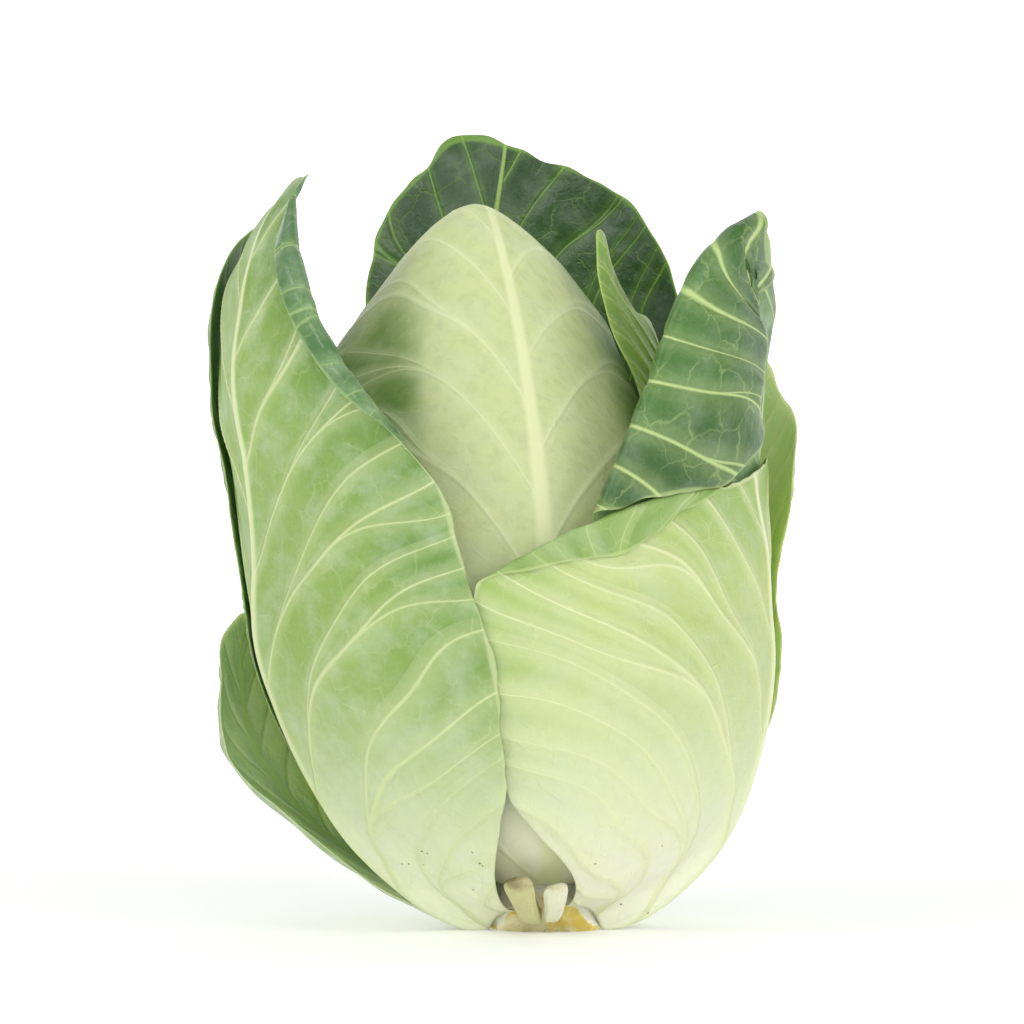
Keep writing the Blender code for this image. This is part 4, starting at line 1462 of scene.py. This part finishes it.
@dataclass(frozen=True)
class CutFinish:
    """Cut and bruised stalk tissue: moist ochre and cream, with brown fissures and specks."""

    name: str
    fresh: Colour = (246, 239, 196)
    old: Colour = (230, 208, 108)
    brown: Colour = (176, 138, 66)
    skin: Colour = (242, 243, 222)

    def material(self, unit_size: float) -> Material:
        """Make the material.

        Args:
            unit_size: Metres in one drawn millimetre.

        Returns:
            The material; it reads a `cut` field that is 1 on cut tissue and 0 on skin.
        """
        t = Dressing(self.name)
        place = t.vector("SCALE", t.node("ShaderNodeTexCoord").outputs["Object"])
        place.node.inputs["Scale"].default_value = 1 / unit_size
        cut = t.node("ShaderNodeAttribute", attribute_name="cut").outputs["Fac"]
        cloud = t.noise(place, 0.13, 4, 0.55)
        grain = t.noise(place, 0.7, 6, 0.7)
        tissue = t.mix(t.ease(cloud, 0.44, 0.6), self.fresh, self.old)
        upright = t.vector("MULTIPLY", place, (1.0, 1.0, 0.35))
        fissure = t.ease(t.noise(upright, 0.5, 6, 0.75), 0.6, 0.74)
        tissue = t.mix(t.math("MULTIPLY", fissure, 0.75), tissue, self.brown)
        skin = t.mix(t.ease(grain, 0.55, 0.8, 0.0, 0.4), self.skin, self.old)
        speck = t.ease(t.noise(place, 1.6, 2, 0.5), 0.70, 0.76)
        t.bump(t.math("SUBTRACT", grain, t.math("MULTIPLY", fissure, 0.6)), 0.9, 0.5 * unit_size)
        t.dress(
            Base_Color=t.mix(t.math("MULTIPLY", speck, 0.8), t.mix(cut, skin, tissue), self.brown),
            Roughness=t.math("MULTIPLY_ADD", grain, 0.35, 0.34),
            Specular_IOR_Level=0.45,
            Subsurface_Weight=0.15,
            Subsurface_Radius=(1.2, 1.0, 0.5),
            Subsurface_Scale=1.5 * unit_size,
        )
        return t.material


@dataclass
class CutStem:
    """The stump with its knife cuts, the strands in its end, and the trimmed leaf stalks."""

    form: HeadForm
    around: int = 160
    bevel: float = 1.6
    face_radius: float = 14.5
    hollow: float = 0.35  # how far the cut face has shrunk between its rim and its strands
    knife_foot: float = -8.0  # where the slanting front cut meets the cut face
    knife_slope: float = 0.52  # how fast it comes forward with height
    strands: int = 34

    def stump(self) -> Piece:
        """Build the stump, turned, then scarred, then cut at a slant in front."""
        form = self.form
        top = form.stump_height - FIT_GAP
        face, side = np.linspace(0.02, 1, 34), np.linspace(0, 1, 44)
        dip = self.hollow * smooth(1 - face, 0.04, 0.3)
        bevel_turn = np.linspace(0, math.pi / 2, 8)[1:]
        wide, low = form.stump_radius, self.face_radius
        edge_radius = low + (wide - low) * np.sin(bevel_turn)
        edge_height = self.bevel * (1 - np.cos(bevel_turn))
        up = side[1:]
        radius = np.concatenate([face * low, edge_radius, wide - 0.8 * up**2, [wide * 0.7, 0.4]])
        height = np.concatenate([dip, edge_height, self.bevel + (top - self.bevel) * up, [top, top]])
        turn = np.linspace(0, 2 * math.pi, self.around, endpoint=False)
        azimuth, r = np.meshgrid(turn, radius, indexing="ij")
        z = height[None, :] + 0 * azimuth
        body = smooth(r, low * 0.9, low) * smooth(z, 0.4, 3)
        scar = np.abs(np.sin(azimuth * 2.5 + z * 0.35 + 0.8)) ** 6
        r = r - body * (0.25 + 0.5 * scar + 0.18 * Ripple(31, 5)(azimuth * wide, z))
        rough = np.abs(Ripple(32, 3)(r * np.cos(azimuth), r * np.sin(azimuth)))
        z = z + 0.12 * smooth(-z, -1.0, -0.02) * rough
        points = form.placed(azimuth, r, z)
        knife = self.knife_foot - self.knife_slope * points[..., 2]
        knife = knife + 0.25 * Ripple(33, 4)(points[..., 0], points[..., 2])
        cut = points[..., 1] < knife
        points[..., 1] = np.where(cut & (z > 0.3), knife, points[..., 1])
        tissue = np.where(cut | (points[..., 2] < self.bevel * 0.8), 1.0, 0.0)
        ends = np.stack([points[:, 0].mean(axis=0), points[:, -1].mean(axis=0)])
        mesh = ring_mesh("stump", points, ends, form.unit)
        set_fields(mesh, np.zeros((len(mesh.vertices), 2)), {"cut": np.append(tissue, [1.0, 0.0])})
        mesh.materials.append(CutFinish("cut_stump").material(form.unit))
        return finished(mesh, "stump", "stump")

    def stubs(self) -> None:
        """Build the two stalk stubs that are left in front of the stump."""
        left = ((-9, 0), (-8, 14), (-7, 25), (6, 27), (7, 14), (8, 0))
        right = ((-8, 0), (-7, 12), (-6, 22), (5, 24), (6, 12), (7, 0))
        dull = CutFinish("left_stub", (196, 186, 140), (150, 140, 98), skin=(206, 204, 150))
        clean = CutFinish("right_stub", (236, 236, 208), (214, 206, 160), skin=(236, 238, 210))
        drawings = (
            ("left_stalk_stub", -9, 2.6, 41, left, dull),
            ("right_stalk_stub", 6, 2.0, 42, right, clean),
        )
        for name, azimuth, stalk, seed, outline, skin in drawings:
            leaf = Leaf(
                name, 7, azimuth, outline, rib=(0, 7), stalk=stalk, blade=2.0, grid=(40, 60), swell=0.1,
                ruffle=0, seed=seed,
            )
            mesh = LeafSheet(self.form, leaf).mesh()
            rise = np.empty(len(mesh.vertices), np.float32)
            mesh.attributes["rise"].data.foreach_get("value", rise)
            set_field(mesh, "cut", smooth(rise, 0.86, 0.97))
            mesh.materials.append(skin.material(self.form.unit))
            finished(mesh, name, name)

    def strand_ring(self) -> Piece:
        """Build the ring of tough strands that show as dots in the cut face, with Geometry Nodes."""
        size = self.form.unit
        tree = GeometryTree(
            "Strand ring", {"Strands": self.strands, "Ring radius": 0.01, "Strand size": 0.001, "Seed": 7}
        )
        circle = tree.node("GeometryNodeMeshCircle")
        tree.feed(circle.inputs["Vertices"], tree.inputs["Strands"])
        tree.feed(circle.inputs["Radius"], tree.inputs["Ring radius"])
        offset = tree.vector("SCALE", tree.random((-0.06, -0.06, 0.0), (0.06, 0.06, 0.0), 1))
        tree.feed(offset.node.inputs["Scale"], tree.inputs["Ring radius"])
        shift = tree.node("GeometryNodeSetPosition")
        tree.feed(shift.inputs["Geometry"], circle.outputs[0])
        tree.feed(shift.inputs["Offset"], offset)
        beads = tree.beads(shift.outputs[0], "Strand size", 2, ((0.7, 0.7, 0.22), (1.25, 1.25, 0.3)), 2)
        tough = CutFinish("strand_end", fresh=(150, 128, 74)).material(size)
        mesh = tree.result(beads, tough, {
            "Ring radius": 0.68 * self.form.stump_radius * size, "Strand size": 0.55 * size,
        })
        for vertex in mesh.vertices:
            vertex.co.y *= DEPTH
            vertex.co.z += 0.22 * size
        set_field(mesh, "cut", np.ones(1))
        return finished(mesh, "strand_ring", None)

    def build(self) -> None:
        """Build the stump, its strands and the stubs."""
        self.stump()
        self.strand_ring()
        self.stubs()


@dataclass
class SoilSpecks:
    """Small brown crumbs caught on the feet of the outer leaves."""

    form: HeadForm
    reach: float = 26.0  # they lie below this height
    grains: float = 0.005  # grains on each square drawn millimetre
    grain: float = 0.24

    def build(self, leaves: list[Piece]) -> Piece:
        """Scatter the crumbs over the lowest outer faces with Geometry Nodes.

        Args:
            leaves: Pieces whose outer faces catch them.

        Returns:
            The piece.
        """
        size = self.form.unit
        tree = GeometryTree("Soil specks", {"Density": 1.0, "Grain": 0.001, "Seed": 5})
        points = tree.node("GeometryNodeDistributePointsOnFaces")
        tree.feed(points.inputs["Mesh"], tree.inputs["Geometry"])
        tree.feed(points.inputs["Density"], tree.inputs["Density"])
        tree.feed(points.inputs["Seed"], tree.inputs["Seed"])
        scales = ((0.5, 0.5, 0.3), (2.0, 1.6, 0.8))
        beads = tree.beads(points.outputs[0], "Grain", 1, scales, 3, points.outputs["Rotation"])
        mesh = tree.result(beads, self.material(), {
            "Density": self.grains / size**2, "Grain": self.grain * size,
        }, self.catching_faces(leaves))
        return finished(mesh, "soil_specks", None)

    def catching_faces(self, leaves: list[Piece]) -> Mesh:
        """Join the low outer faces of the leaves into one mesh."""
        points, faces = [], []
        for piece in leaves:
            mesh = piece.data
            for face in mesh.polygons:
                centre = face.center
                low = centre.z < self.reach * self.form.unit and face.material_index == 0
                if low and centre.y < 0 and face.normal.y < -0.1:
                    faces.append(tuple(range(len(points), len(points) + len(face.vertices))))
                    points.extend(tuple(mesh.vertices[v].co) for v in face.vertices)
        made = bpy.data.meshes.new("catching_faces")
        made.from_pydata(points, [], faces)
        return made

    def material(self) -> Material:
        """Make the crumbs' matt brown material."""
        t = Dressing("soil_crumb")
        tint = t.noise(t.node("ShaderNodeTexCoord").outputs["Object"], 900.0, 3, 0.6)
        t.dress(Base_Color=t.mix(tint, (112, 92, 62), (166, 146, 108)), Roughness=0.85)
        return t.material


# ======================================================================================
# Stage
# ======================================================================================
@dataclass
class Studio:
    """The floor, the lights and the camera."""

    low: Vector
    high: Vector
    height_share: float = 0.777  # share of the picture's height that the object takes
    aside: float = 0.008  # how far the object's middle lies left of the picture's, as a share
    below: float = 0.018
    lens: float = 200.0
    elevation: float = 1.0
    span: float = 6.0  # the floor's reach to the sides and the front
    back: float = 3.4  # where it starts to bend up
    bend: float = 0.8
    wall: float = 4.5  # the height that it bends up to

    def floor(self) -> None:
        """Lay a pale floor that curves up behind the object."""
        turn = np.linspace(0, math.pi / 2, 24)
        curve = [(self.back + self.bend * math.sin(a), self.bend * (1 - math.cos(a))) for a in turn]
        run = [(-self.span, 0.0), *curve, (self.back + self.bend, self.wall)]
        points = [(x, y, z) for y, z in run for x in (-self.span, self.span)]
        faces = [(2 * i, 2 * i + 1, 2 * i + 3, 2 * i + 2) for i in range(len(run) - 1)]
        mesh = bpy.data.meshes.new("floor")
        mesh.from_pydata(points, [], faces)
        mesh.shade_smooth()
        t = Dressing("pale_floor")
        away = t.vector("LENGTH", t.node("ShaderNodeTexCoord").outputs["Object"]).node.outputs["Value"]
        t.dress(
            Base_Color=(0.92, 0.92, 0.92, 1),
            Roughness=0.9,
            Specular_IOR_Level=0.1,
            Emission_Color=(1, 1, 1, 1),
            Emission_Strength=t.ease(away, 0.15, 1.6, 0.22, 0.6),
        )
        mesh.materials.append(t.material)
        floor = bpy.data.objects.new("floor", mesh)
        bpy.context.scene.collection.objects.link(floor)
        floor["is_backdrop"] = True

    def lamp(self, name: str, place: Point3, size: float, power: float) -> None:
        """Hang a soft square light that looks at the object."""
        data = bpy.data.lights.new(name, "AREA")
        data.size, data.energy = size, power
        lamp = bpy.data.objects.new(name, data)
        lamp.location = place
        lamp.rotation_euler = (Vector((0, 0, 0.1)) - lamp.location).to_track_quat("-Z", "Y").to_euler()
        bpy.context.scene.collection.objects.link(lamp)

    def lights(self) -> None:
        """Light the object softly from the front and above, as on a white table."""
        world = bpy.data.worlds.new("studio")
        bpy.context.scene.world = world
        world.use_nodes = True
        colour, strength = world.node_tree.nodes["Background"].inputs[:2]
        colour.default_value = (1.0, 1.0, 1.0, 1)
        strength.default_value = 0.5
        self.lamp("left_box", (-1.25, -0.8, 0.85), size=0.6, power=5.5)
        self.lamp("right_box", (1.1, -1.1, 0.75), size=0.7, power=6.3)
        self.lamp("low_fill", (0.1, -1.5, 0.4), size=0.9, power=5.0)
        self.lamp("top", (0.0, 0.1, 1.6), size=1.2, power=3.0)

    def camera(self) -> None:
        """Stand the camera in front, far off with a long lens, and frame the object."""
        scene = bpy.context.scene
        data = bpy.data.cameras.new("camera")
        camera = bpy.data.objects.new("camera", data)
        scene.collection.objects.link(camera)
        data.lens = self.lens
        centre = (self.low + self.high) / 2
        view = (self.high.z - self.low.z) / self.height_share
        aim = Vector((centre.x + self.aside * view, centre.y, centre.z + self.below * view))
        tilt = math.radians(self.elevation)
        away = self.lens / data.sensor_width * view
        back = Vector((0, -math.cos(tilt), math.sin(tilt)))
        camera.location = aim + back * away
        camera.rotation_euler = (-back).to_track_quat("-Z", "Y").to_euler()
        data.clip_start, data.clip_end = away * 0.05, away * 20
        scene.camera = camera

    def build(self) -> None:
        """Set the stage."""
        self.floor()
        self.lights()
        self.camera()
        bpy.context.scene.view_settings.view_transform = "Standard"


def main() -> tuple[Vector, Vector]:
    """Build every part in order.

    Returns:
        The frame's box, from before anything was built.
    """
    logging.basicConfig(level=logging.INFO, format="%(name)s: %(message)s")
    low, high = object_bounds()
    form = HeadForm.from_frame(low, high)
    LOG.info("heart %.1f wide, %.1f tall", 2 * form.heart_radius, form.heart_tip)
    GROUPS["veins"], GROUPS["tone"] = vein_group(), tone_group()
    CutStem(form).build()
    ClosedHead(form).build()
    outer = OuterLeaves(form).build()
    SoilSpecks(form).build([p for p in outer if p.name.startswith(("left_leaf", "right_leaf"))])
    Studio(low, high).build()
    return low, high


if __name__ == "__main__":
    frame_low, frame_high = main()
